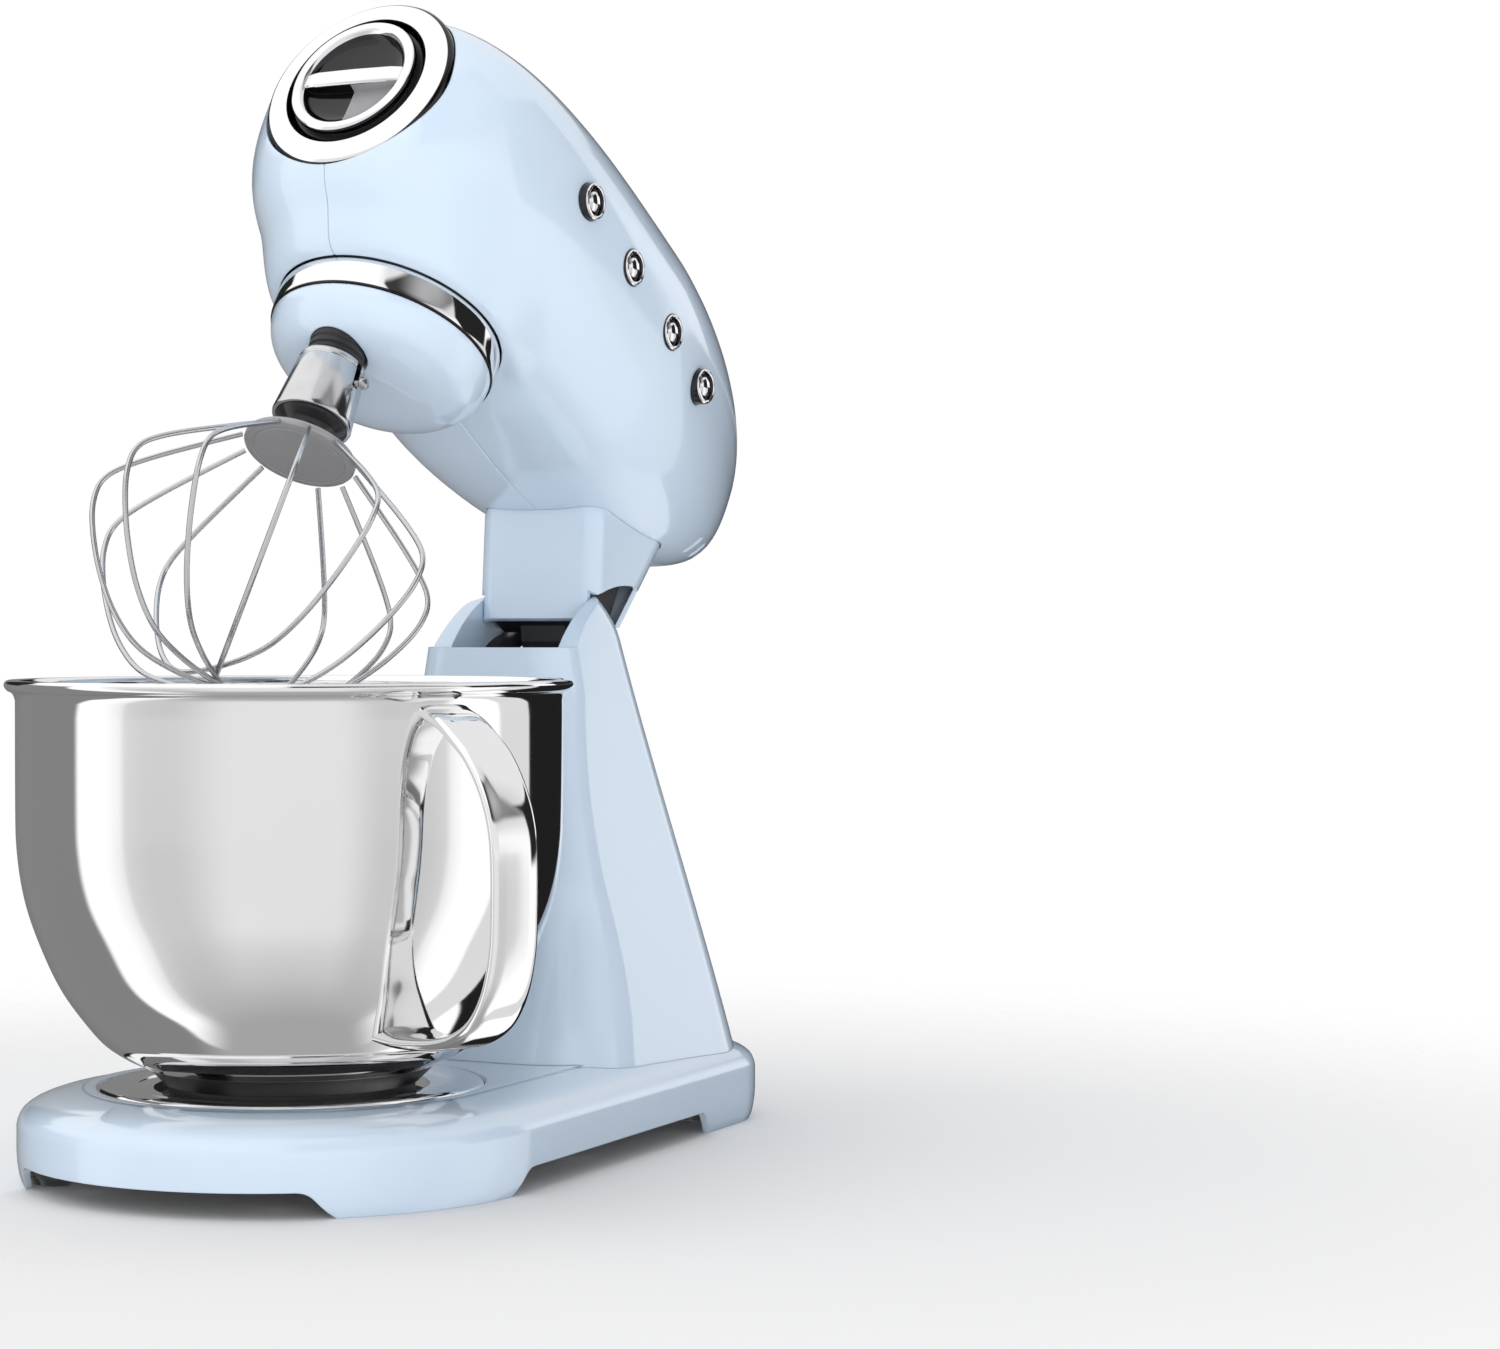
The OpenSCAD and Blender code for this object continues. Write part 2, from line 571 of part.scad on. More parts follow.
module tool_cross_pin() color(steel) raised() translate([-9.5, -orbit, 197.4]) rotate([0, 90, 0]) {
    cylinder(r = 1.48, h = 30);
    translate([0, 0, 27]) cylinder(r1 = 1.8, r2 = 2.6, h = 1);
    translate([0, 0, 28]) cylinder(r = 2.6, h = 2.4);
}

// ---- whisk ----
module whisk_collar() color(steel) raised() translate([0, -orbit, 0]) difference() {
    rotate_extrude() polygon([[4.1, 208.6], [13.4, 208.6], [14.2, 207.8], [17.2, 178], [15.4, 178],
        [15.4, 180], [4.1, 180]]);
    // bayonet slot for the cross pin, with room for the pin to drop in
    translate([-10.2, -1.8, 195.6]) cube([32, 3.6, 14]);
}

module whisk_plate() color(grey) raised() translate([0, -orbit, 0]) {
    rotate_extrude() polygon([[0, 180], [15.3, 180], [15.3, 177.4], [11, 173.5], [11, 167], [22, 165.6],
        [23.6, 164.6], [23.6, 162.6],
        [20, 161.6], [0, 161.6]]);
}

// Outline of a whisk loop: distance out and height, from the plate round to the bottom middle
loop_line = [[24.6, 161.9], [36, 152.5], [52, 139], [63, 128.5], [68.5, 121], [70, 113], [67.5, 101],
    [59, 83], [47, 66],
    [33, 54.5], [17, 50], [0, 49]];
function knot(i) = loop_line[max(0, min(len(loop_line) - 1, i))];
function loop_pt(i, t) = 0.5 * (2 * knot(i) + (knot(i + 1) - knot(i - 1)) * t
    + (2 * knot(i - 1) - 5 * knot(i) + 4 * knot(i + 1) - knot(i + 2)) * t * t
    + (3 * knot(i) - knot(i - 1) - 3 * knot(i + 1) + knot(i + 2)) * t * t * t);

module wire_loop(turn, lift) {
    last = len(loop_line) - 1;
    k = 2 * last;
    n = 6;
    half = [for (i = [0:k]) let (p = i == k ? loop_line[last] : loop_pt(floor(i / 2), i % 2 / 2))
        [p[0], p[1] + lift * 1.4 * (1 - p[1] / 163)]];
    path = concat([for (p = half) p], [for (i = [k - 1:-1:0]) [-half[i][0], half[i][1]]]);
    m = len(path);
    rotate([0, 0, turn]) loft([for (i = [0:m - 1])
        let (d = path[min(i + 1, m - 1)] - path[max(i - 1, 0)], q = d / norm(d))
        [for (j = [0:n - 1]) let (a = 360 * j / n)
            [path[i][0] + 1.1 * cos(a) * q[1], 1.1 * sin(a), path[i][1] - 1.1 * cos(a) * q[0]]]]);
}

module whisk_wires() color(steel) raised() translate([0, -orbit, 0])
    for (i = [0:5]) wire_loop(30 * i + 11, 2.35 * i);

// ---- bowl ----
bowl_line = [[46, 44], [56, 45], [62, 47.4], [69, 51], [77, 57], [86, 68], [93, 78.5], [99, 91],
    [105, 107], [108.4, 121],
    [110.2, 136], [bowl_r, 152], [bowl_r, rim_z - 6]];

module bowl() color(steel) rotate_extrude($fn = 128) difference() {
    union() {
        polygon(concat([[0, 44]], bowl_line, [[bowl_r + 1, rim_z - 3], [bowl_r + 3.4, rim_z - 1.4],
            [bowl_r + 4.4, rim_z + 0.4],
            [bowl_r + 3.6, rim_z + 2], [bowl_r + 1.4, rim_z + 2.2], [bowl_r - 1.2, rim_z - 2]],
            [for (i = [len(bowl_line) - 1:-1:0]) [bowl_line[i][0] - 1.3 + i / 60, bowl_line[i][1] + 1.1]],
                [[0, 45.2]]));
    }
}

module bowl_foot() color(black) {
    rotate_extrude($fn = 96) polygon([[44, 33.6], [50, 33.6], [50, 38.9], [51.5, 39.2], [58.5, 45.9],
        [56, 44.95], [46, 43.95], [44, 43.9]]);
    for (a = lug_angles) rotate([0, 0, a]) translate([45, -9, 29.02]) cube([14, 18, 3.58]);
    for (a = lug_angles) rotate([0, 0, a]) translate([45, -9, 32]) cube([4, 18, 3]);
}

// Middle line of the handle strap: distance from the bowl axis and height
handle_line = [[109.5, 192], [113, 190.5], [121, 187.5], [130, 182], [140, 174.5], [149, 163],
    [154.6, 150], [156.4, 136],
    [156.4, 118], [155.2, 102], [150.5, 87], [142, 75.5], [130, 68.5], [117, 65.2], [104, 64], [92, 63.8],
        [82, 65]];
function handle_half_w(i) = 11.6 + 3.4 * pow(max(0, (i - 11) / 5), 2) - 1.2 * pow(sin(180 * i / 16), 2);

module bowl_handle() color(steel) rotate([0, 0, handle_dir - 90]) difference() {
    m = len(handle_line);
    loft([for (i = [0:m - 1]) let (p = handle_line[i], d = handle_line[min(i + 1,
        m - 1)] - handle_line[max(i - 1, 0)],
        q = d / norm(d), w = handle_half_w(i))
        [for (j = [0:15]) let (a = 22.5 * j, u = 2.7 * pow(abs(sin(a)), 0.8) * sign(sin(a)),
            v = w * pow(abs(cos(a)), 0.45) * sign(cos(a)))
            [p[0] - q[1] * u, v, p[1] + q[0] * u]]]);
    rotate_extrude($fn = 128) polygon(concat([[0, 30]], [for (p = bowl_line) [p[0] + 0.05, p[1] - 0.05]],
        [[bowl_r + 0.05, 230], [0, 230]]));
}

// ---- selection ----
base_shell();
pedestal_shell();
base_cover();
base_cover_screws();
rubber_feet();
bowl_seat_ring();
twist_lock_plate();
control_board();
power_inlet();
pivot_cover();
hinge_pin();
hinge_bushes();
release_button();
release_spring();
hinge_arm();
head_frame();
neck_cover();
head_shell_left();
head_shell_right();
head_screws();
front_ring();
hub_socket();
hub_cap();
hub_drive_shaft();
trim_studs_left();
trim_studs_right();
rear_vent_grille();
speed_lever();
gearbox_housing();
motor_stator();
motor_rotor();
cooling_fan();
motor_pulley();
drive_pulley();
drive_belt();
planetary_shaft();
shaft_bearings();
ring_gear();
planet_carrier();
planetary_cap();
chrome_band();
planet_pinion();
tool_bush();
tool_shaft();
tool_cross_pin();
bowl();
bowl_foot();
bowl_handle();
whisk_collar();
whisk_plate();
whisk_wires();
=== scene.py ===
import json
import math

import bmesh
import bpy
from mathutils import Matrix, Vector


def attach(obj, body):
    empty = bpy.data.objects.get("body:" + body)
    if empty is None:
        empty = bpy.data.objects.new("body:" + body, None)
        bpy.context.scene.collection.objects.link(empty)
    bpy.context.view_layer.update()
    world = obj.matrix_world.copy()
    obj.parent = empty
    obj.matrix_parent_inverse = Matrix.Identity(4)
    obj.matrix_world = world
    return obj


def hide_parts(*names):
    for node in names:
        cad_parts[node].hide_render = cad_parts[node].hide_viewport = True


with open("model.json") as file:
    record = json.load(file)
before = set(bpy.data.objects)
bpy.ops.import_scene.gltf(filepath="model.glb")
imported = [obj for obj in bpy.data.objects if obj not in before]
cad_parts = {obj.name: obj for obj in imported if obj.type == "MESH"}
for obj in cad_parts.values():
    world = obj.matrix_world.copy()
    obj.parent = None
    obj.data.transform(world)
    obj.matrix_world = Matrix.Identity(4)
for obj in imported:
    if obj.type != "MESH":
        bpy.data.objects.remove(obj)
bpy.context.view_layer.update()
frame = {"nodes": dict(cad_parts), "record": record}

# ---- dimensions, in millimetres and degrees, the same as the CAD source's ----
HINGE = (218.0, 174.4)
TILT = 32.3
HEAD_W, HEAD_TOP, HEAD_UNDER = 75.5, 378.0, 244.0
HEAD_Y0, HEAD_Y1, HEAD_YC, HEAD_ZC = -81.0, 269.0, 95.0, 320.0
WALL = 3.0
BASE_R, BASE_REAR_W, BASE_Y1, SEAT_Z = 110.5, 94.0, 262.0, 38.0
BOWL_R, RIM_Z = 110.6, 200.5
HANDLE_DIR = 67.0
ORBIT = 26.0
BAND_R = 49.0
NECK_W = 32.0
COLLAR_R = 66.0
RING_Y, RING_Z = -71.7, 318.4
EAR_GAP, EAR_TOP_R, TONGUE_W = 28.2, 67.6, 27.4
SEAM = 0.22
PIVOT_COVER_REAR = 213
FOOT_SPOTS = ((-72, -60), (72, -60), (-70, 222), (70, 222))
STUD_SPOTS = ((8, 315), (50, 312), (93, 309), (130, 306))
MM = 0.001

# ---- studio, in metres ----
FLOOR_R, FADE_FROM, FADE_TO = 1.6, 0.36, 0.85
STUDIO_WHITE = 1.18

RAISE = (
    Matrix.Translation((0, HINGE[0] * MM, HINGE[1] * MM))
    @ Matrix.Rotation(math.radians(-TILT), 4, "X")
    @ Matrix.Translation((0, -HINGE[0] * MM, -HINGE[1] * MM))
)
AT_RING = Matrix.Translation((0, RING_Y * MM, RING_Z * MM)) @ Matrix.Rotation(math.radians(90), 4, "X")
AT_TOOL = Matrix.Translation((0, -ORBIT * MM, 0))
HERE = Matrix.Identity(4)

scene = bpy.context.scene


# ---- camera ----
def make_camera():
    cam = bpy.data.objects.new("camera", bpy.data.cameras.new("camera"))
    scene.collection.objects.link(cam)
    cam.location = (0.8252, -1.1644, 0.2250)
    cam.rotation_euler = (math.radians(90 - 0.82), 0, math.radians(27.8))
    cam.data.sensor_width = 36
    cam.data.lens = 83.25
    cam.data.clip_start, cam.data.clip_end = 0.05, 100
    scene.camera = cam


# ---- materials ----
def node_tools(name):
    m = bpy.data.materials.new(name)
    m.use_nodes = True
    nt = m.node_tree
    return m, nt.nodes["Principled BSDF"], nt.nodes.new, nt.links.new


def surface(name, color, metal=0.0, rough=0.4, rough_vary=0.05, coat=0.0, coat_rough=0.03, vary=0.03,
            scale=60.0, stretch=(1, 1, 1), turn=0.0, bump=0.02, bump_scale=400.0, detail=4.0, edge=0.0):
    """Procedural surface: slow colour change, fine roughness change and a bump, all from object coordinates."""
    m, bsdf, new, link = node_tools(name)
    bsdf.inputs["Metallic"].default_value = metal
    bsdf.inputs["Coat Weight"].default_value = coat
    bsdf.inputs["Coat Roughness"].default_value = coat_rough
    tex = new("ShaderNodeTexCoord")
    mapping = new("ShaderNodeMapping")
    mapping.inputs["Scale"].default_value = stretch
    mapping.inputs["Rotation"].default_value = (math.radians(turn), 0, 0)
    mapping.vector_type = "TEXTURE" if turn else "POINT"
    if turn:
        mapping.inputs["Scale"].default_value = tuple(1 / s for s in stretch)
    link(tex.outputs["Object"], mapping.inputs["Vector"])

    slow = new("ShaderNodeTexNoise")
    slow.inputs["Scale"].default_value = scale * 0.2
    slow.inputs["Detail"].default_value = 3
    link(tex.outputs["Object"], slow.inputs["Vector"])
    ramp = new("ShaderNodeValToRGB")
    ramp.color_ramp.elements[0].position, ramp.color_ramp.elements[1].position = 0.3, 0.7
    ramp.color_ramp.elements[0].color = [c * (1 - vary) for c in color] + [1]
    ramp.color_ramp.elements[1].color = [min(1, c * (1 + vary)) for c in color] + [1]
    link(slow.outputs["Fac"], ramp.inputs["Fac"])
    link(ramp.outputs["Color"], bsdf.inputs["Base Color"])

    fine = new("ShaderNodeTexNoise")
    fine.inputs["Scale"].default_value = scale
    fine.inputs["Detail"].default_value = detail
    link(mapping.outputs["Vector"], fine.inputs["Vector"])
    span = new("ShaderNodeMapRange")
    span.inputs["To Min"].default_value = max(0.0, rough - rough_vary)
    span.inputs["To Max"].default_value = min(1.0, rough + rough_vary)
    link(fine.outputs["Fac"], span.inputs["Value"])
    link(span.outputs["Result"], bsdf.inputs["Roughness"])

    grain = new("ShaderNodeTexNoise")
    grain.inputs["Scale"].default_value = bump_scale
    grain.inputs["Detail"].default_value = detail
    link(mapping.outputs["Vector"], grain.inputs["Vector"])
    raised = new("ShaderNodeBump")
    raised.inputs["Strength"].default_value = bump
    raised.inputs["Distance"].default_value = 0.0005
    link(grain.outputs["Fac"], raised.inputs["Height"])
    if edge:
        soft = new("ShaderNodeBevel")
        soft.samples = 4
        soft.inputs["Radius"].default_value = edge * MM
        link(soft.outputs["Normal"], raised.inputs["Normal"])
    link(raised.outputs["Normal"], bsdf.inputs["Normal"])
    return m


MATS = {
    "pastel_paint": surface("pastel_enamel", (0.68, 0.81, 0.955), rough=0.3, rough_vary=0.03, coat=1.0, coat_rough=0.04,
                            vary=0.012, scale=40, bump=0.03, bump_scale=120, detail=2, edge=0.8),
    "steel_polished": surface("polished_steel", (0.87, 0.87, 0.872), metal=1.0, rough=0.055, rough_vary=0.02,
                              vary=0.015,
                              scale=60, stretch=(1, 1, 3), bump=0.004, bump_scale=80, edge=0.3),
    "steel_brushed": surface("brushed_steel", (0.62, 0.62, 0.63), metal=1.0, rough=0.17, rough_vary=0.06, vary=0.03,
                             scale=500, stretch=(1, 1, 0.02), turn=-TILT, bump=0.05, bump_scale=900, edge=0.3),
    "steel_wire": surface("whisk_wire_steel", (0.62, 0.62, 0.63), metal=1.0, rough=0.22, rough_vary=0.05, vary=0.04,
                          scale=300, bump=0.03, bump_scale=900),
    "chrome_trim": surface("chrome", (0.86, 0.86, 0.87), metal=1.0, rough=0.035, rough_vary=0.02, vary=0.015,
                           scale=50, bump=0.006, bump_scale=150, edge=0.25),
    "black_plastic": surface("black_moulded_plastic", (0.018, 0.018, 0.02), rough=0.42, rough_vary=0.08, vary=0.15,
                             scale=200, bump=0.12, bump_scale=1400, edge=0.4),
    "rubber_black": surface("black_rubber", (0.012, 0.012, 0.012), rough=0.75, rough_vary=0.1, vary=0.2,
                            scale=150, bump=0.25, bump_scale=900),
    "grey_metal": surface("grey_satin_metal", (0.36, 0.36, 0.37), metal=0.25, rough=0.4, rough_vary=0.06, vary=0.03,
                          scale=120, bump=0.06, bump_scale=700, edge=0.3),
    "cast_alloy": surface("cast_alloy", (0.45, 0.46, 0.47), metal=1.0, rough=0.5, rough_vary=0.12, vary=0.08,
                          scale=140, bump=0.3, bump_scale=500),
    "bronze_bush": surface("bronze", (0.55, 0.36, 0.15), metal=1.0, rough=0.3, rough_vary=0.08, vary=0.06,
                           scale=200, stretch=(8, 1, 1), bump=0.08, bump_scale=400),
    "board_green": surface("board_lacquer", (0.03, 0.14, 0.06), rough=0.3, rough_vary=0.08, vary=0.2,
                           scale=300, bump=0.1, bump_scale=600, coat=0.4),
    "iron_laminations": surface("stacked_iron", (0.16, 0.17, 0.18), metal=0.9, rough=0.5, rough_vary=0.1, vary=0.15,
                                scale=200, stretch=(0.1, 0.1, 12), turn=-TILT, bump=0.4, bump_scale=300),
    "gear_steel": surface("machined_steel", (0.5, 0.5, 0.52), metal=1.0, rough=0.28, rough_vary=0.08, vary=0.06,
                          scale=250, stretch=(1, 1, 4), bump=0.08, bump_scale=700),
    "belt_rubber": surface("belt_rubber", (0.02, 0.02, 0.02), rough=0.7, rough_vary=0.1, vary=0.2,
                           scale=300, bump=0.3, bump_scale=1200),
    # Dark chrome that stands only for painted shade and dark reflections on chrome parts: ring walls, cap rim and dish,
    # band underside, stud grooves.
    "chrome_painted_shade_and_reflection": surface("chrome_painted_shade_and_reflection", (0.05, 0.05, 0.052), metal=1.0, rough=0.09, rough_vary=0.03, vary=0.1,
                           scale=80, bump=0.01, bump_scale=200, edge=0.25),
    # Gloss black for the rubber feet; it is also used as painted shade on the whisk plate's neck, for the dark gap
    # under the collar.
    "foot_gloss_and_painted_shade": surface("gloss_black_foot_and_painted_shade", (0.012, 0.012, 0.013), rough=0.16, rough_vary=0.04, vary=0.2,
                          scale=120, bump=0.03, bump_scale=500, edge=0.3),
}


# ---- mesh helpers: everything is drawn in millimetres ----
def mesh_object(name, verts, faces, place=HERE, crease=32.0):
    bm = bmesh.new()
    vs = [bm.verts.new(Vector(v) * MM) for v in verts]
    for f in faces:
        if len(set(f)) >= 3:
            bm.faces.new([vs[i] for i in f])
    bmesh.ops.remove_doubles(bm, verts=bm.verts, dist=2e-6)
    bmesh.ops.dissolve_degenerate(bm, edges=bm.edges, dist=1e-7)
    bmesh.ops.recalc_face_normals(bm, faces=bm.faces)
    me = bpy.data.meshes.new(name)
    bm.to_mesh(me)
    bm.free()
    me.transform(place)
    o = bpy.data.objects.new(name, me)
    scene.collection.objects.link(o)
    shade(o, crease)
    return o


def shade(o, crease):
    me = o.data
    me.polygons.foreach_set("use_smooth", [True] * len(me.polygons))
    me.set_sharp_from_angle(angle=math.radians(crease))


def baked(o, crease=32.0):
    """Replace the object's mesh with what its modifiers make of it."""
    me = bpy.data.meshes.new_from_object(o.evaluated_get(bpy.context.evaluated_depsgraph_get()))
    o.modifiers.clear()
    o.data = me
    shade(o, crease)
    return o


def boolean(o, cutters, operation="DIFFERENCE", crease=32.0):
    for c in cutters:
        mod = o.modifiers.new("cut", "BOOLEAN")
        mod.operation, mod.solver, mod.object = operation, "EXACT", c
    baked(o, crease)
    for c in cutters:
        bpy.data.objects.remove(c)
    return o


def weighted(o):
    mod = o.modifiers.new("even_normals", "WEIGHTED_NORMAL")
    mod.keep_sharp = True
    mod.weight = 80
    return o


def kept(o, body, slot, nodes=(), mat=None):
    o.data.materials.clear()
    o.data.materials.append(MATS[mat or slot])
    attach(o, body)
    if nodes:
        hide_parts(*nodes)
    return o


def loft(name, rings, place=HERE, closed=True, caps=True, crease=32.0):
    n = len(rings[0])
    verts = [p for r in rings for p in r]
    faces = []
    for i in range(len(rings) - 1):
        for j in range(n if closed else n - 1):
            k = (j + 1) % n
            faces.append((i * n + j, i * n + k, (i + 1) * n + k, (i + 1) * n + j))
    if caps:
        faces.append(tuple(range(n))[::-1])
        faces.append(tuple((len(rings) - 1) * n + j for j in range(n)))
    return mesh_object(name, verts, faces, place, crease)


def rounded(points, r, steps=4):
    """Corner-rounded copy of a closed outline; r may be one number or one per corner."""
    out = []
    n = len(points)
    for i, p in enumerate(points):
        radius = r[i] if isinstance(r, (list, tuple)) else r
        a, b, c = Vector(points[i - 1]), Vector(p), Vector(points[(i + 1) % n])
        ab, cb = a - b, c - b
        cut = min(radius, ab.length * 0.49, cb.length * 0.49)
        if cut < 1e-4 or ab.normalized().dot(cb.normalized()) < -0.999:
            out.append((b.x, b.y))
            continue
        s, e = b + ab.normalized() * cut, b + cb.normalized() * cut
        for k in range(steps + 1):
            t = k / steps
            q = s * (1 - t) ** 2 + b * 2 * t * (1 - t) + e * t * t
            out.append((q.x, q.y))
    return out


def lathe(name, outline, segs=128, place=HERE, crease=32.0):
    """Solid of revolution about z from a closed outline of (radius, height)."""
    rings = [[(r * math.cos(2 * math.pi * k / segs), r * math.sin(2 * math.pi * k / segs), z) for r, z in outline]
             for k in range(segs)]
    n = len(outline)
    verts = [p for ring in rings for p in ring]
    faces = []
    for k in range(segs):
        m = (k + 1) % segs
        for i in range(n):
            j = (i + 1) % n
            if outline[i][0] < 1e-6 and outline[j][0] < 1e-6:
                continue
            faces.append((k * n + i, m * n + i, m * n + j, k * n + j))
    return mesh_object(name, verts, faces, place, crease)


def smooth_line(points, per=6):
    """Catmull-Rom line through the points, of any dimension."""
    out = []
    n = len(points)
    for i in range(n - 1):
        p = [points[max(0, i - 1)], points[i], points[i + 1], points[min(n - 1, i + 2)]]
        for k in range(per):
            t = k / per
            out.append(tuple(
                0.5 * (2 * p[1][d] + (p[2][d] - p[0][d]) * t
                       + (2 * p[0][d] - 5 * p[1][d] + 4 * p[2][d] - p[3][d]) * t * t
                       + (3 * p[1][d] - p[0][d] - 3 * p[2][d] + p[3][d]) * t ** 3)
                for d in range(len(points[0]))))
    out.append(tuple(points[-1]))
    return out


def cylinder(name, r, z0, z1, place=HERE, segs=128):
    return lathe(name, [(0, z0), (r, z0), (r, z1), (0, z1)], segs, place)


def across(name, x0, x1, y, z, r, place=HERE, segs=160):
    turn = Matrix.Translation((0, y * MM, z * MM)) @ Matrix.Rotation(math.radians(90), 4, "Y")
    return cylinder(name, r, x0, x1, place @ turn, segs)


def block(name, x0, x1, y0, y1, z0, z1, place=HERE):
    return prism(name, [(x0, y0), (x1, y0), (x1, y1), (x0, y1)], z0, z1, place)


def prism(name, outline, z0, z1, place=HERE):
    return loft(name, [[(x, y, z0) for x, y in outline], [(x, y, z1) for x, y in outline]], place)


def clamp0(v):
    return max(0.0, v)


def tangent(points, i):
    """Unit direction of a two-dimensional line at one of its points."""
    a, b = points[max(0, i - 1)], points[min(len(points) - 1, i + 1)]
    return Vector((b[0] - a[0], b[1] - a[1])).normalized()


def curve(c, p):
    return clamp0(1 - abs(c) ** p) ** (1 / p)


def box_ring(w, y0, y1, rf, rr, z, k=14):
    """Rounded rectangle of half width w, with front corners of radius rf and rear corners of radius rr."""
    out = []
    for cx, cy, r, a0 in ((w - rf, y0 + rf, rf, -90), (w - rr, y1 - rr, rr, 0), (rr - w, y1 - rr, rr, 90),
                          (rf - w, y0 + rf, rf, 180)):
        for i in range(k + 1):
            a = math.radians(a0 + 90 * i / k)
            out.append((cx + r * math.cos(a), cy + r * math.sin(a), z))
    return out


# ---- head shells ----
def head_point(t, a, d):
    """Point on the head: t from -1 (front) to 1 (rear), angle a round it, drawn in by d."""
    f = t < 0
    y = HEAD_YC + t * ((HEAD_YC - HEAD_Y0 - d) if f else (HEAD_Y1 - HEAD_YC - d))
    w = (HEAD_W - d) * curve(t, 3.3 if f else 1.68)
    hu = (HEAD_TOP - HEAD_ZC - d) * curve(t, 3.4 if f else 2.0)
    hl = (HEAD_ZC - HEAD_UNDER - d) * curve(t, 4.1 if f else 1.85)
    c, s = math.cos(math.radians(a)), math.sin(math.radians(a))
    n = 2.7 if s < 0 else 2.15
    x, z = w * abs(c) ** (2 / n), HEAD_ZC + (-hl if s < 0 else hu) * abs(s) ** (2 / n)
    if s < 0:  # the underside is drawn down into a collar round the chrome band
        q = min(1, clamp0((COLLAR_R - math.hypot(x, y)) / (COLLAR_R - BAND_R - 1.5)))
        z += (min(z, HEAD_UNDER + 2.8 + d) - z) * q * q * (3 - 2 * q)
    return (x, y, z)


def head_half(name, side):
    ns, na = 110, 44
    angles = [-90, -89.93, -89.7, -89.2] + [-90 + 180 * j / na for j in range(1, na)] + [89.2, 89.7, 89.93, 90]
    ts = [-math.cos(math.pi * i / ns) for i in range(0, ns + 1)]
    verts, faces = [], []
    for d in (0.0, WALL):
        for t in ts:
            for a in angles:
                x, y, z = head_point(t, a, d)
                if d == 0.0 and x < 0.9:
                    dip = 0.45 * (1 - x / 0.9) ** 2
                    z += -dip if z > HEAD_ZC else dip
                verts.append((side * max(x, SEAM * 0.5), y, z))
    n, m = len(angles), len(ts)
    count = n * m

    def at(i, j, k):
        return k * count + i * n + j

    for i in range(m - 1):
        for j in range(n - 1):
            faces.append((at(i, j, 0), at(i, j + 1, 0), at(i + 1, j + 1, 0), at(i + 1, j, 0)))
            faces.append((at(i, j, 1), at(i + 1, j, 1), at(i + 1, j + 1, 1), at(i, j + 1, 1)))
        faces.append((at(i, 0, 0), at(i + 1, 0, 0), at(i + 1, 0, 1), at(i, 0, 1)))
        faces.append((at(i, n - 1, 0), at(i, n - 1, 1), at(i + 1, n - 1, 1), at(i + 1, n - 1, 0)))
    for j in range(n - 1):
        faces.append((at(0, j, 0), at(0, j, 1), at(0, j + 1, 1), at(0, j + 1, 0)))
        faces.append((at(m - 1, j, 0), at(m - 1, j + 1, 0), at(m - 1, j + 1, 1), at(m - 1, j, 1)))
    return mesh_object(name, verts, faces, RAISE, 40)


def neck_ring(z, d, k=14):
    """Outline of the neck at a height, drawn in by d."""
    q = (z - 207) / 41
    return box_ring(NECK_W - d, 163 - 22 * min(1, q) + d, 194 + 9 * q - d, 10 - d, 13 - d, z, k)


def skin_slit(name, t0, t1, a0, a1, d0, d1, side):
    """Cutter for a slit that follows the head's skin."""
    rings = []
    for i in range(13):
        a = a0 + (a1 - a0) * i / 12
        squeeze = 0.5 * (t1 - t0) * (1 - math.sqrt(clamp0(1 - (2 * i / 12 - 1) ** 8)))
        ring = [head_point(t0 + squeeze, a, d0), head_point(t1 - squeeze, a, d0), head_point(t1 - squeeze, a, d1),
                head_point(t0 + squeeze, a, d1)]
        rings.append([(side * x, y, z) for x, y, z in ring])
    return loft(name, rings, RAISE)


def make_head():
    for side, name in ((1, "head_shell_right"), (-1, "head_shell_left")):
        o = head_half("visible_" + name, side)
        cutters = [
            cylinder("c1", 44.4, -30, 30, RAISE @ AT_RING, 160),
            cylinder("c2", BAND_R + 0.3, 230, 259, RAISE, 192),
            loft("c3", [neck_ring(z, -0.35) for z in (236, 244, 247, 248, 256, 269)], RAISE),
            prism("c4", rounded([(-3.2, 86), (3.2, 86), (3.2, 132), (-3.2, 132)], 3.1, 6), 366, 384, RAISE),
        ]
        for y, z in STUD_SPOTS:
            cutters.append(across("c5", side * (HEAD_W - 14), side * (HEAD_W + 6), y, z, 8.2, RAISE, 64))
        for i in range(3):
            t = 0.075 * i
            cutters.append(skin_slit("c6", 0.72 + t, 0.748 + t, -56, -36, -1.5, WALL + 1.5, side))
        boolean(o, cutters, crease=35)
        weighted(o)
        kept(o, "head", "pastel_paint", [name])


def make_neck():
    zs = [204 + 62 * i / 31 for i in range(32)]
    o = loft("visible_neck_cover", [neck_ring(z, 0) for z in zs], RAISE)
    inner = loft("n1", [neck_ring(z, 2.4) for z in [200 + 5 * i for i in range(15)]], RAISE)
    beside = [
        block("n8", TONGUE_W, 40, 100, 240, 190, 216, RAISE),
        block("n9", -40, -TONGUE_W, 100, 240, 190, 216, RAISE),
    ]
    boolean(o, [
        inner,
        across("n2", -40, 40, *HINGE, 49.5, RAISE),
        across("n3", TONGUE_W, 40, *HINGE, EAR_TOP_R + 0.9, RAISE),
        across("n4", -40, -TONGUE_W, *HINGE, EAR_TOP_R + 0.9, RAISE),
        block("n6", -12.3, 12.3, 180, 210, 195, 216, RAISE),
        block("n7", -26.2, 26.2, 100, 160, 252.8, 258.2, RAISE),
    ] + beside)
    weighted(o)
    kept(o, "head", "pastel_paint", ["neck_cover"])


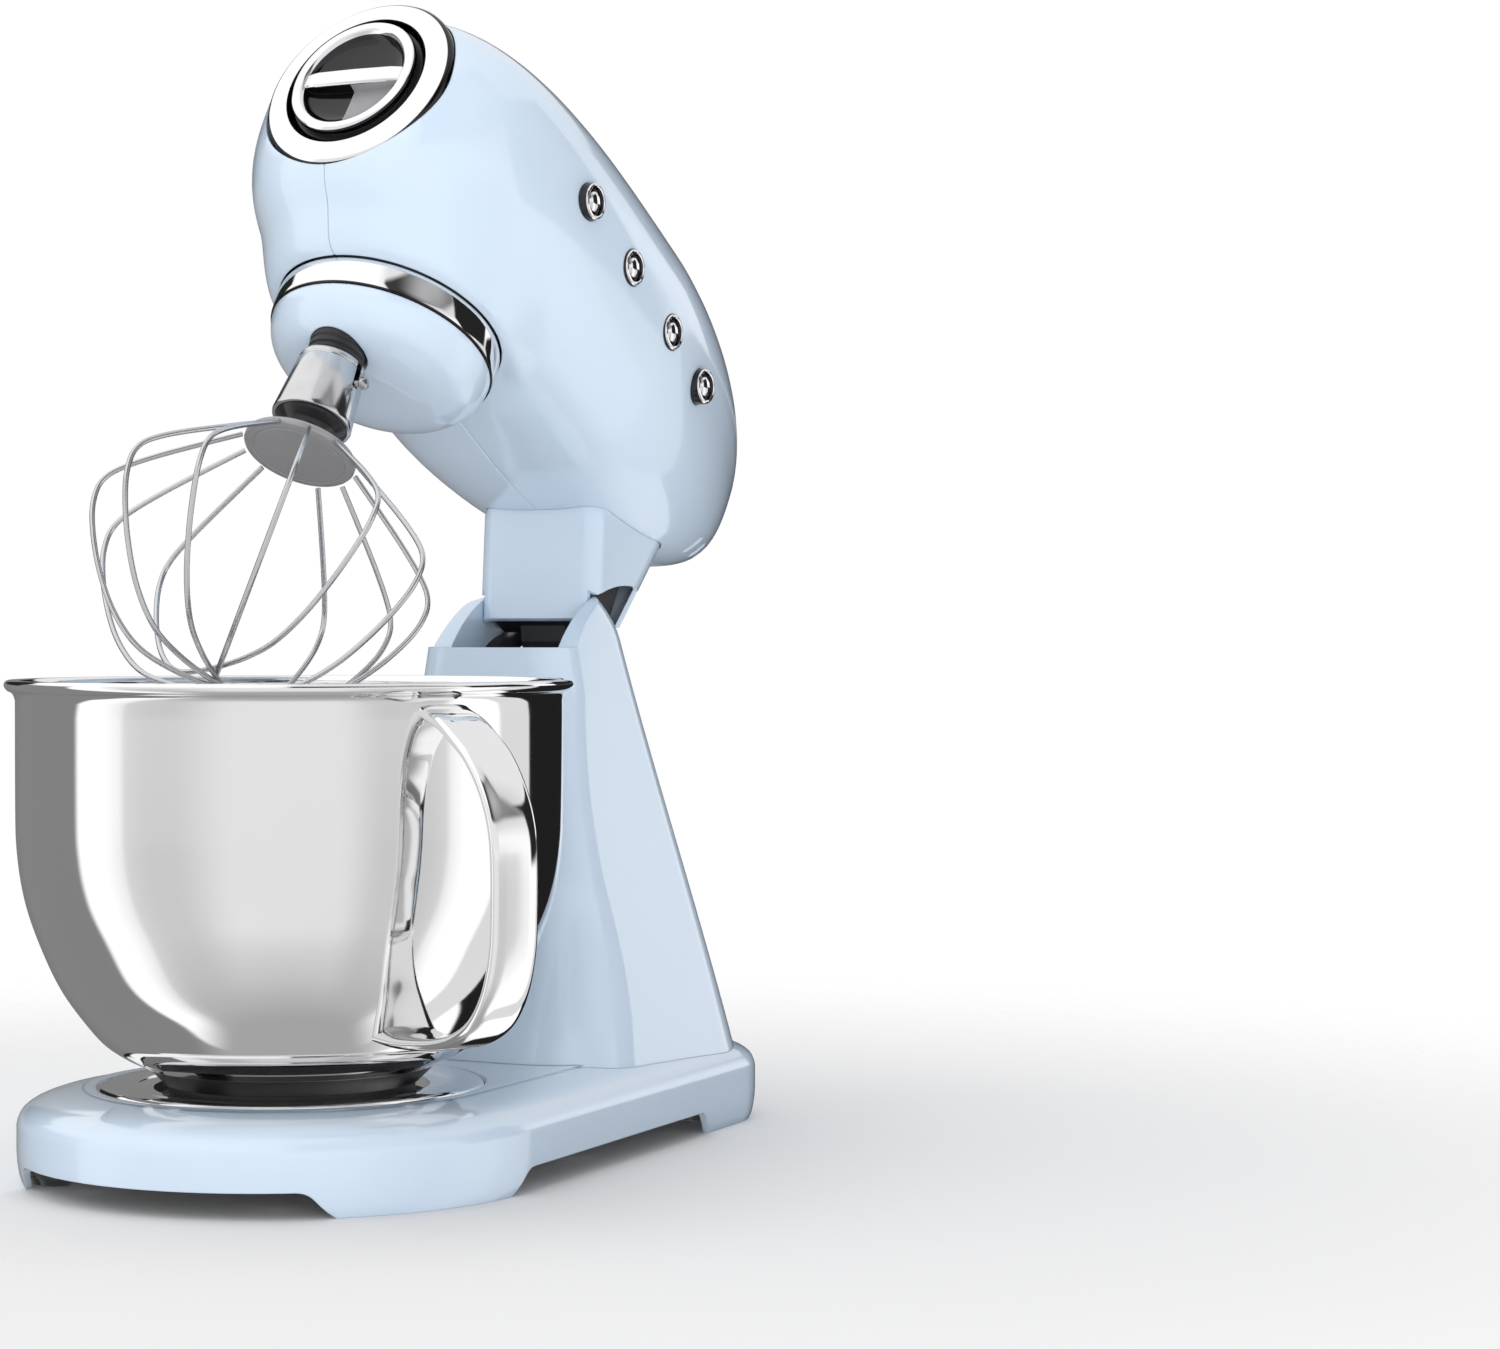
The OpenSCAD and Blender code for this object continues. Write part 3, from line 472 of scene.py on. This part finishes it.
# ---- base and pedestal ----
BASE_EDGE = [
    (-3, 0), (-1.7, 2.5), (-1, 5), (-0.3, 9.5), (0, 14), (0, 24), (-0.4, 26), (-1.2, 28), (-2.3, 29.7),
    (-4, 31.2), (-6.2, 32.6), (-9, 33.8), (-13, 35.1), (-18, 36), (-24, 37), (-30, 37.6), (-38, 38),
]


def base_ring(inset, z, arc=96, corner=18):
    c = (BASE_REAR_W - 46, BASE_Y1 - 46)
    turn = math.degrees(math.atan2(c[1], c[0])) - math.degrees(math.acos((BASE_R - 46) / math.hypot(*c)))
    out = []
    for cx, cy, r, a0, da, n in ((0, 0, BASE_R, 180 - turn, 180 + 2 * turn, arc),
                                 (c[0], c[1], 46, turn, 90 - turn, corner),
                                 (-c[0], c[1], 46, 90, 90 - turn, corner)):
        for i in range(n + 1):
            a = math.radians(a0 + da * i / n)
            out.append((cx + (r - inset) * math.cos(a), cy + (r - inset) * math.sin(a), z))
    return out


def base_body(name, cut, z_low=None):
    rings = []
    for k, (e, z) in enumerate(BASE_EDGE):
        if z < SEAT_Z - cut - 0.1:
            rings.append(base_ring(cut - e, z if z_low is None or k else z_low))
    rings.append(base_ring(cut + 26, SEAT_Z - cut))
    return loft(name, rings, crease=25)


def slot_outline(half0, half1, top, r=3.5):
    return rounded([(-half0, -2), (-half1, top), (half1, top), (half0, -2)], [0, r, r, 0], 6)


def make_base():
    o = base_body("visible_base_shell", 0)
    frontways = Matrix.Rotation(math.radians(90), 4, "X")
    sideways = Matrix.Translation((0, 0.090, 0)) @ Matrix.Rotation(math.radians(90), 4, "Z") @ frontways
    boolean(o, [
        base_body("b0", WALL + 0.5, -3),
        prism("b1", slot_outline(96, 84, 10.5), -220, 220, sideways),
        prism("b2", slot_outline(76, 68, 10.5), 0, 220, frontways),
        prism("b3", slot_outline(76, 64, 10.5), -300, -200, frontways),
        cylinder("b4", 79, 20, 50, HERE, 192),
        block("b5", -12.1, 12.1, BASE_Y1 - 14, BASE_Y1 + 6, 14.1, 27.3),
    ])
    weighted(o)
    unreflected(o)
    kept(o, "base", "pastel_paint", ["base_shell"])


def ped_ring(z, d, k=14):
    """Outline of the pedestal at a height, drawn in by d."""
    v = clamp0(1 - (z - SEAT_Z) / 200)
    w = 35 + 52 * v ** 1.35
    y0 = 124 + 23 * min(1, clamp0((z - 110) / 85)) ** 1.4 - 34 * clamp0(1 - (z - 36) / 110) ** 3
    y1 = 213 + 36 * v ** 0.75 - (0.03 * (z - 218) ** 2 if z > 218 else 0)
    r = 18 + 20 * v ** 3
    return box_ring(w - d, y0 + d, y1 - d, r - d, r + 4 - d, z, k)


def make_pedestal():
    n = 56
    o = loft("visible_pedestal_shell", [ped_ring(27 + 215 * i / n, 0) for i in range(n + 1)])
    ears = across("p4", -70, 70, *HINGE, EAR_TOP_R)
    trim = block("p5", -60, 60, 100, 240, 215, 255)
    boolean(trim, [ears])
    button_hole = Matrix.Translation((0, 0, 0.118)) @ Matrix.Rotation(math.radians(90), 4, "X")
    boolean(o, [
        base_body("p0", -0.1),
        block("p1", -EAR_GAP, EAR_GAP, 152, 252, 146, 246),
        block("p2", -EAR_GAP, EAR_GAP, 100, 160, 215, 255),
        trim,
        cylinder("p6", 10.2, -248, -218, button_hole, 64),
    ])
    weighted(o)
    kept(o, "base", "pastel_paint", ["pedestal_shell"])


# ---- bowl ----
BOWL_LINE = [
    (46, 44), (56, 45), (62, 47.4), (69, 51), (77, 57), (86, 68), (93, 78.5), (99, 91), (105, 107),
    (108.4, 121), (110.2, 136), (BOWL_R, 152), (BOWL_R, RIM_Z - 6),
]
HANDLE_LINE = [
    (109.5, 192), (113, 190.5), (121, 187.5), (130, 182), (140, 174.5), (149, 163), (154.6, 150), (156.4, 136),
    (156.4, 118), (155.2, 102), (150.5, 87), (142, 75.5), (130, 68.5), (117, 65.2), (104, 64), (92, 63.8),
    (82, 65),
]


def offset_line(points, d):
    out = []
    for i, p in enumerate(points):
        t = tangent(points, i)
        out.append((clamp0(p[0] - t.y * d), p[1] + t.x * d))
    return out


def bowl_side():
    return smooth_line([(0, 44), (24, 44)] + BOWL_LINE, 5)


def make_bowl():
    side = bowl_side()
    inner = offset_line(side, 1.2)
    lip = [
        (BOWL_R + 0.5, RIM_Z - 4.2), (BOWL_R + 1.4, RIM_Z - 2.8), (BOWL_R + 3.0, RIM_Z - 2.0),
        (BOWL_R + 4.2, RIM_Z - 0.6), (BOWL_R + 4.4, RIM_Z + 0.8), (BOWL_R + 3.6, RIM_Z + 2.0),
        (BOWL_R + 2.2, RIM_Z + 2.4), (BOWL_R + 0.6, RIM_Z + 1.7), (BOWL_R - 0.6, RIM_Z - 0.2),
        (BOWL_R - 1.1, RIM_Z - 3.0),
    ]
    o = lathe("visible_bowl", side + smooth_line(lip, 3) + inner[::-1], 256, crease=50)
    kept(o, "bowl", "steel_polished", ["bowl"])


def handle_half_w(s):
    i = s * 16
    return 11.6 + 3.4 * clamp0((i - 11) / 5) ** 2 - 1.2 * math.sin(math.pi * s) ** 2


def make_handle():
    line = smooth_line(HANDLE_LINE, 5)
    turn = Matrix.Rotation(math.radians(HANDLE_DIR - 90), 4, "Z")
    rings = []
    m = len(line)
    for i, p in enumerate(line):
        t = tangent(line, i)
        w = handle_half_w(i / (m - 1))
        ring = []
        for j in range(40):
            ang = 2 * math.pi * j / 40
            s, c = math.sin(ang), math.cos(ang)
            u = 2.7 * abs(s) ** 0.8 * (1 if s > 0 else -1)
            v = w * abs(c) ** 0.45 * (1 if c > 0 else -1)
            ring.append((p[0] - t.y * u, v, p[1] + t.x * u))
        rings.append(ring)
    o = loft("visible_bowl_handle", rings, turn)
    side = [(clamp0(r - 0.6), z) for r, z in bowl_side()]
    boolean(o, [lathe("h1", side + [(BOWL_R - 0.6, 230), (0, 230)], 256)], crease=40)
    kept(o, "bowl", "steel_polished", ["bowl_handle"])


# ---- whisk ----
LOOP = [
    (24.4, 162), (36, 152.5), (52, 139), (63, 128.5), (68.5, 121), (70, 113), (67.5, 101), (59, 83), (47, 66),
    (33, 54.5), (17, 50), (0, 49),
]


def make_whisk():
    verts, faces = [], []
    n = 12
    for k in range(6):
        lift = 2.35 * k
        half = smooth_line([(r, z + lift * (1 - z / 163.0) * 1.4) for r, z in LOOP], 8)
        path = half + [(-r, z) for r, z in half[-2::-1]]
        ca, sa = math.cos(math.radians(30 * k + 11)), math.sin(math.radians(30 * k + 11))
        start = len(verts)
        m = len(path)
        for i, p in enumerate(path):
            t = tangent(path, i)
            for j in range(n):
                ang = 2 * math.pi * j / n
                x, y, z = p[0] + 1.1 * math.cos(ang) * t.y, 1.1 * math.sin(ang), p[1] - 1.1 * math.cos(ang) * t.x
                verts.append((x * ca - y * sa, x * sa + y * ca, z))
        for i in range(m - 1):
            for j in range(n):
                q = (j + 1) % n
                faces.append((start + i * n + j, start + i * n + q, start + (i + 1) * n + q, start + (i + 1) * n + j))
        faces.append(tuple(start + j for j in range(n))[::-1])
        faces.append(tuple(start + (m - 1) * n + j for j in range(n)))
    o = mesh_object("visible_whisk_wires", verts, faces, RAISE @ AT_TOOL, 50)
    kept(o, "whisk", "steel_polished", ["whisk_wires"], "steel_wire")


# ---- small turned and moulded parts ----
def unreflected(o):
    """Keep a piece low down out of the bowl's mirror image, where it would show as dark marks."""
    o.visible_glossy = False


def paint_shade_and_reflection(o, mat, inside, place):
    """Give the faces whose centres, in the part's own frame, pass the test a second material, which paints shade and
    reflections onto them.
    """
    o.data.materials.append(MATS[mat])
    back = place.inverted()
    for f in o.data.polygons:
        if inside(back @ f.center / MM):
            f.material_index = len(o.data.materials) - 1


def in_dish(c):
    """True inside the hub cap's dish, which its bar divides in two."""
    return math.hypot(c.x, c.y) < 23.9 and 1.5 < c.z < 6.0


def make_hub():
    at = RAISE @ AT_RING
    ring = lathe("visible_front_ring", [
        (32.4, -6), (43.6, -6), (44, -5), (44, -0.6), (43.8, 0.6), (43.2, 1.5), (42.2, 2.2), (40.6, 2.7),
        (38, 3.3), (35.4, 3.9), (33.8, 4.3), (33.0, 4.2), (32.5, 3.6), (32.4, 2.6),
    ], 192, at)
    kept(ring, "head", "chrome_trim", ["front_ring"])
    # Painted shade and dark reflection: the ring's inner wall and outer rim get the dark chrome.
    paint_shade_and_reflection(ring, "chrome_painted_shade_and_reflection", lambda c: not 33.0 < math.hypot(c.x, c.y) < 42.0, at)
    cap = lathe("visible_hub_cap", [
        (0, -6), (26.4, -6), (26.6, -5), (26.6, 3.8), (28.6, 4.1), (29.2, 4.7), (29.3, 5.8), (28.9, 6.8),
        (28.0, 7.4), (26.6, 7.6), (25.2, 7.4), (24.3, 6.8), (23.7, 5.8), (23.1, 4.6), (21.4, 3.3), (17, 2.5),
        (9, 2.1), (0, 2.0),
    ], 192, at)
    sections = ((-24.6, 4.2, 5.6), (-23.2, 4.6, 6.6), (-18, 4.9, 7.2), (0, 5.0, 7.4), (18, 4.9, 7.2),
                (23.2, 4.6, 6.6), (24.6, 4.2, 5.6))
    bar = loft("g0", [
        [(x, y, z) for y, z in rounded([(-w, 1.0), (w, 1.0), (w * 0.78, h), (-w * 0.78, h)], 1.3, 4)]
        for x, w, h in sections
    ], at)
    boolean(cap, [bar], "UNION")
    kept(cap, "hub_cap", "chrome_trim", ["hub_cap"])
    # Painted shade and dark reflection on the cap's outer rim, where it meets the ring.
    paint_shade_and_reflection(cap, "chrome_painted_shade_and_reflection", lambda c: math.hypot(c.x, c.y) > 28.5, at)
    # Painted reflection in the dish: the half above the bar and the lower-left quarter are dark, the lower-right
    # quarter grey, as the chrome would mirror them.
    paint_shade_and_reflection(cap, "chrome_painted_shade_and_reflection", lambda c: in_dish(c) and (c.y > 3.4 or (c.y < -3.4 and c.x < 0)), at)
    paint_shade_and_reflection(cap, "grey_metal", lambda c: in_dish(c) and c.y < -3.4 and c.x >= 0, at)


def make_planetary():
    skin = smooth_line([(12, 212.9), (20, 213.2), (27, 214.1), (33, 215.6), (40, 219), (45, 224.2),
                        (47.4, 229.2), (48.2, 233)], 5)
    cap = lathe("visible_planetary_cap", [(0, 233.8), (0, 212.8)] + skin
                + [(45.5, 233), (45.5, 237), (43.2, 237), (43.2, 233.8)], 192, RAISE)
    hole = [(0, 208), (14.2, 208), (14.0, 212.6), (13.4, 213.4), (12.8, 214.1), (12.5, 215), (12.5, 240), (0, 240)]
    boolean(cap, [lathe("q0", hole, 128, RAISE @ AT_TOOL)])
    weighted(cap)
    kept(cap, "planetary", "pastel_paint", ["planetary_cap"])
    band = lathe("visible_chrome_band", [
        (46.2, 233.4), (48.5, 233.4), (48.85, 233.6), (49.0, 234.1), (49.12, 236), (49.2, 240), (49.12, 244),
        (49.0, 245.7), (48.7, 246.2), (47.2, 246.9), (46.2, 246.9),
    ], 192, RAISE)
    kept(band, "head", "chrome_trim", ["chrome_band"])
    # Painted shade: the band's underside below z 234.2 is given the dark chrome.
    paint_shade_and_reflection(band, "chrome_painted_shade_and_reflection", lambda c: c.z < 234.2, RAISE)
    bush = lathe("visible_tool_bush", [
        (4.4, 228), (4.4, 212), (7.0, 212), (9.9, 209.3), (11.4, 209.2), (11.9, 209.6), (12.0, 210.6),
        (11.3, 211.1), (11.3, 211.7), (12.1, 212.2), (12.25, 214.0), (11.7, 214.5), (11.7, 215.1),
        (12.25, 215.6), (12.25, 228),
    ], 96, RAISE @ AT_TOOL)
    kept(bush, "planetary", "black_plastic", ["tool_bush"])


def make_tool():
    at = RAISE @ AT_TOOL
    collar = lathe("visible_whisk_collar", [
        (4.1, 208.6), (12.0, 208.6), (13.0, 208.4), (13.7, 207.9), (14.1, 207.0), (14.25, 205.6), (14.1, 205.3),
        (14.1, 204.8), (14.4, 204.4), (16.75, 181), (16.95, 179.2), (16.7, 178.3), (16.2, 178), (15.4, 178),
        (15.4, 180), (4.1, 180),
    ], 128, at)
    boolean(collar, [block("k0", -10.2, 21.8, -1.8, 1.8, 195.6, 209.6, at)])
    kept(collar, "whisk", "steel_polished", ["whisk_collar"], "steel_brushed")
    plate = lathe("visible_whisk_plate", [
        (0, 180), (14.9, 180), (15.25, 179.6), (15.25, 177.6), (14.6, 176.8), (12.2, 174.6), (11.2, 173.2),
        (11, 171), (11, 168), (11.6, 167), (13.5, 166.6), (21.6, 165.7), (23.1, 165.1), (23.6, 164.3),
        (23.6, 162.9), (23.2, 162.2), (22.2, 161.8), (20, 161.65), (19.6, 161.9), (19.2, 161.9), (18.8, 161.65),
        (0, 161.65),
    ], 128, at)
    kept(plate, "whisk", "grey_metal", ["whisk_plate"])
    # Painted shade: the plate's neck above z 166.9 is glossy black, standing for the dark gap under the collar.
    paint_shade_and_reflection(plate, "foot_gloss_and_painted_shade", lambda c: c.z > 166.9, at)
    pin = lathe("visible_tool_cross_pin", [
        (0, -9.5), (1.2, -9.5), (1.5, -9.2), (1.5, 17.2), (1.9, 17.6), (2.5, 18.3), (2.6, 19.2), (2.55, 20),
        (2.1, 20.6), (1.2, 20.88), (0, 20.9),
    ], 40, at @ Matrix.Translation((0, 0, 0.1974)) @ Matrix.Rotation(math.radians(90), 4, "Y"))
    kept(pin, "tool", "gear_steel", ["tool_cross_pin"])


def stud_painted_shade_faces(c):
    """True on a stud's rim and in its ring groove, where shade is painted on in a dark material."""
    far = min(math.hypot(c.y - y, c.z - z) for y, z in STUD_SPOTS)
    return far > 7.7 or 4.7 < far < 6.3


def joined(name, parts):
    """One object from several closed ones, which are removed."""
    bm = bmesh.new()
    for o in parts:
        bm.from_mesh(o.data)
        bpy.data.objects.remove(o)
    bmesh.ops.recalc_face_normals(bm, faces=bm.faces)
    me = bpy.data.meshes.new(name)
    bm.to_mesh(me)
    bm.free()
    o = bpy.data.objects.new(name, me)
    scene.collection.objects.link(o)
    shade(o, 32)
    return o


def make_studs():
    for side, name in ((1, "trim_studs_right"), (-1, "trim_studs_left")):
        parts = []
        for y, z in STUD_SPOTS:
            at = (RAISE @ Matrix.Diagonal((side, 1, 1, 1)) @ Matrix.Translation((0, y * MM, z * MM))
                  @ Matrix.Rotation(math.radians(90), 4, "Y"))
            parts.append(lathe("s", [
                (0, 72.5), (5.5, 72.5), (5.5, 63.5), (7.8, 63.5), (8, 63.8), (8, 75.2), (7.85, 75.9),
                (7.4, 76.5), (6.8, 76.7), (6.2, 76.4), (5.9, 75.8), (5.7, 74.9), (5.3, 74.6), (4.9, 74.9),
                (4.6, 75.6), (4.0, 76.2), (2.4, 76.75), (0, 76.9),
            ], 64, at))
        o = joined("visible_" + name, parts)
        kept(o, "head", "chrome_trim", [name])
        # Painted shade: the stud rims and ring grooves are given the dark chrome.
        paint_shade_and_reflection(o, "chrome_painted_shade_and_reflection", stud_painted_shade_faces, RAISE)


def make_seat():
    ring = lathe("visible_bowl_seat_ring", [
        (56, 33), (78.5, 33), (78.5, 36.2), (78.3, 37.0), (77.6, 37.8), (76.6, 38.4), (75.5, 38.7), (73, 38.75),
        (66, 38.3), (64.3, 38.1), (63.4, 37.7), (62.8, 37.4), (56, 37.4),
    ], 192)
    kept(ring, "base", "chrome_trim", ["bowl_seat_ring"])


def make_feet():
    outline = [
        (0, 0.9), (6.6, 0.9), (7.2, 0), (9.6, 0), (10.4, 0.4), (11.2, 2.2), (11.6, 3.2), (11.3, 3.7),
        (11.3, 4.3), (11.9, 4.8), (12, 6), (12, 11), (0, 11),
    ]
    o = joined("visible_rubber_feet", [lathe("f", outline, 64, Matrix.Translation((x * MM, y * MM, 0)))
                                       for x, y in FOOT_SPOTS])
    unreflected(o)
    kept(o, "base", "rubber_black", ["rubber_feet"], "foot_gloss_and_painted_shade")


def make_button():
    place = Matrix.Translation((0, 0.243, 0.118)) @ Matrix.Rotation(math.radians(-90), 4, "X")
    o = lathe("visible_release_button", [
        (0, -16), (9.2, -16), (9.6, -15.6), (9.6, -3.2), (9.2, -2.9), (9.2, -2.4), (9.6, -2.1), (9.6, -1.2),
        (9.3, -0.5), (8.6, -0.05), (8.0, 0), (7.2, -0.4), (5, -0.9), (0, -1.1),
    ], 96, place)
    boolean(o, [cylinder("r0", 4, -34, -15, place, 48)], "UNION")
    kept(o, "release_button", "black_plastic", ["release_button"])


def make_pivot_cover():
    o = across("visible_pivot_cover", -EAR_GAP + 0.1, EAR_GAP - 0.1, *HINGE, 47.9)
    boolean(o, [
        across("w0", -40, 40, *HINGE, 44),
        block("w1", -14, 14, 150, 280, 150, 240),
        block("w2", -40, 40, 150, 280, 100, HINGE[1] + 6),
        block("w3", -40, 40, PIVOT_COVER_REAR, 290, 100, 260),
    ])
    mod = o.modifiers.new("soft_edges", "BEVEL")
    mod.width, mod.segments, mod.limit_method = 0.6 * MM, 3, "ANGLE"
    baked(o)
    kept(o, "base", "black_plastic", ["pivot_cover"])


def make_lever():
    stem_outline = rounded([(-2.4, 96), (2.4, 96), (2.4, 106), (-2.4, 106)], 1.0, 3)
    stem = prism("visible_speed_lever", stem_outline, 362, 380, RAISE)
    knob = lathe("v0", [
        (0, 379), (6.6, 379), (7.4, 379.3), (8.2, 380.0), (8.4, 380.7), (8.3, 381.6), (8.0, 382.2),
        (7.2, 383.0), (6.0, 383.6), (5.0, 383.7), (3.6, 383.5), (0, 383.9),
    ], 96, RAISE @ Matrix.Translation((0, 0.101, 0)))
    boolean(stem, [knob], "UNION")
    kept(stem, "speed_lever", "chrome_trim", ["speed_lever"])


# ---- CAD nodes that stay, with better materials ----
def dress_cad_nodes():
    slots = {s["node"]: s["material_slot"] for s in frame["record"]["subparts"]}
    special = {"tool_shaft": "steel_brushed"}
    for name in ("base_cover", "base_cover_screws", "twist_lock_plate", "control_board"):
        unreflected(frame["nodes"][name])
    for name, o in frame["nodes"].items():
        mat = MATS[special.get(name, slots[name])]
        if not o.data.materials:
            o.data.materials.append(mat)
        for i in range(len(o.data.materials)):
            o.data.materials[i] = mat


# ---- stage ----
def make_stage():
    """A pale round floor that thins out to nothing, so that no horizon shows behind the mixer."""
    me = bpy.data.meshes.new("floor")
    n = 96
    radii = (0.3, 0.6, 1.0, FLOOR_R)
    verts = [(0, 0, 0)] + [(r * math.cos(2 * math.pi * i / n), 0.08 + r * math.sin(2 * math.pi * i / n), 0)
                           for r in radii for i in range(n)]
    faces = [(0, i + 1, (i + 1) % n + 1) for i in range(n)]
    for k in range(len(radii) - 1):
        a, b = 1 + k * n, 1 + (k + 1) * n
        faces += [(a + i, b + i, b + (i + 1) % n, a + (i + 1) % n) for i in range(n)]
    me.from_pydata(verts, [], faces)
    floor = bpy.data.objects.new("floor", me)
    scene.collection.objects.link(floor)
    m, bsdf, new, link = node_tools("pale_floor")
    noise = new("ShaderNodeTexNoise")
    noise.inputs["Scale"].default_value = 3
    ramp = new("ShaderNodeValToRGB")
    ramp.color_ramp.elements[0].color = (0.86, 0.86, 0.86, 1)
    ramp.color_ramp.elements[1].color = (0.88, 0.88, 0.88, 1)
    link(noise.outputs["Fac"], ramp.inputs["Fac"])
    link(ramp.outputs["Color"], bsdf.inputs["Base Color"])
    bsdf.inputs["Roughness"].default_value = 0.7
    bsdf.inputs["Specular IOR Level"].default_value = 0.05
    tex = new("ShaderNodeTexCoord")
    far = new("ShaderNodeVectorMath")
    far.operation = "LENGTH"
    link(tex.outputs["Object"], far.inputs[0])
    fade = new("ShaderNodeMapRange")
    fade.interpolation_type = "SMOOTHSTEP"
    for socket, v in (("From Min", FADE_FROM), ("From Max", FADE_TO), ("To Min", 1.0), ("To Max", 0.0)):
        fade.inputs[socket].default_value = v
    link(far.outputs["Value"], fade.inputs["Value"])
    link(fade.outputs["Result"], bsdf.inputs["Alpha"])
    me.materials.append(m)
    floor.visible_glossy = False


# Dark and light cards of the studio, each over the ones before it:
# azimuth from, to; elevation from, to; softness of the edge (all in degrees); brightness
CARDS = (
    (-60, 130, 14, 90, 24, 0.90),
    (-128, 13, -80, 3, 4, 0.865),
    (-128, -92, -80, 3, 30, 0.66),
    (-26, 13, -80, 3, 22, 0.66),
    (-128, 13, -80, -48, 30, 0.50),
    (-136, -14, 3, 32, 5, 0.90),
    (116, 206, -80, 20, 4, 0.25),
    (118, 146, -80, 3, 26, 0.20),
    (42, 63, -80, 3, 3, 0.80),
    (63, 118, -40, 3, 2, 0.015),
    (48, 80, 4, 14, 3, 1.4),
    (-56, 21, 26, 58, 5, 0.05),
    (-24, 21, 26, 58, 34, 0.50),
    (21, 60, 0, 33, 3, 0.02),
    (80, 118, 3, 22, 2, 0.02),
    (138, 166, 5, 26, 3, 0.02),
    (-180, 180, -95, -66, 14, 0.42),
)


def make_world():
    """A bright studio all round, with the cards that the chrome and steel pick up; plain white to the camera."""
    w = bpy.data.worlds.new("studio")
    scene.world = w
    w.use_nodes = True
    nt = w.node_tree
    new, link = nt.nodes.new, nt.links.new
    bg = nt.nodes["Background"]

    def maths(op, a, b=None):
        n = new("ShaderNodeMath")
        n.operation = op
        for i, v in enumerate((a, b)):
            if v is None:
                continue
            if isinstance(v, (int, float)):
                n.inputs[i].default_value = v
            else:
                link(v, n.inputs[i])
        return n.outputs[0]

    def ramp_between(value, low, high):
        n = new("ShaderNodeMapRange")
        n.interpolation_type = "SMOOTHSTEP"
        n.inputs["From Min"].default_value, n.inputs["From Max"].default_value = low, high
        link(value, n.inputs["Value"])
        return n.outputs["Result"]

    tex = new("ShaderNodeTexCoord")
    split = new("ShaderNodeSeparateXYZ")
    link(tex.outputs["Generated"], split.inputs[0])
    x, y, z = split.outputs
    elevation = maths("MULTIPLY", maths("ARCSINE", z), 180 / math.pi)
    colour = None
    for a0, a1, e0, e1, soft, value in CARDS:
        mid = math.radians((a0 + a1) / 2)
        # how far round from the card's middle, in degrees either way
        along = maths("ADD", maths("MULTIPLY", x, math.cos(mid)), maths("MULTIPLY", y, math.sin(mid)))
        over = maths("SUBTRACT", maths("MULTIPLY", y, math.cos(mid)), maths("MULTIPLY", x, math.sin(mid)))
        off = maths("MULTIPLY", maths("ABSOLUTE", maths("ARCTAN2", over, along)), 180 / math.pi)
        half = (a1 - a0) / 2
        inside = maths("SUBTRACT", 1.0, ramp_between(off, half - soft / 2, half + soft / 2))
        low = ramp_between(elevation, e0 - soft / 2, e0 + soft / 2)
        high = maths("SUBTRACT", 1.0, ramp_between(elevation, e1 - soft / 2, e1 + soft / 2))
        mask = maths("MULTIPLY", inside, maths("MULTIPLY", low, high))
        mix = new("ShaderNodeMix")
        mix.data_type = "RGBA"
        link(mask, mix.inputs["Factor"])
        if colour is None:
            mix.inputs["A"].default_value = (STUDIO_WHITE, STUDIO_WHITE, STUDIO_WHITE, 1)
        else:
            link(colour, mix.inputs["A"])
        mix.inputs["B"].default_value = (value, value, value * 1.01, 1)
        colour = mix.outputs["Result"]
    path = new("ShaderNodeLightPath")
    seen = new("ShaderNodeMix")
    seen.data_type = "RGBA"
    link(path.outputs["Is Camera Ray"], seen.inputs["Factor"])
    link(colour, seen.inputs["A"])
    seen.inputs["B"].default_value = (1.0, 1.0, 1.0, 1)
    link(seen.outputs["Result"], bg.inputs["Color"])
    bg.inputs["Strength"].default_value = 1.0


def area_light(name, spot, target, size, power):
    data = bpy.data.lights.new(name, "AREA")
    data.shape, data.size, data.size_y, data.energy = "RECTANGLE", size, size, power
    o = bpy.data.objects.new(name, data)
    scene.collection.objects.link(o)
    o.location = spot
    o.visible_glossy = False
    o.rotation_euler = (Vector(target) - Vector(spot)).to_track_quat("-Z", "Y").to_euler()


scene.view_settings.view_transform = "Standard"
make_camera()
make_stage()
make_world()
area_light("key", (-1.3, -1.5, 1.9), (0, 0.05, 0.22), 1.4, 1.0)
area_light("under", (0.9, -0.9, 0.02), (0, 0.05, 0.45), 0.9, 6.5)
area_light("top", (-0.2, 0.2, 2.4), (0, 0.1, 0.2), 1.8, 9)
dress_cad_nodes()
make_head()
make_neck()
make_base()
make_pedestal()
make_bowl()
make_handle()
make_whisk()
make_hub()
make_planetary()
make_tool()
make_studs()
make_seat()
make_feet()
make_button()
make_pivot_cover()
make_lever()
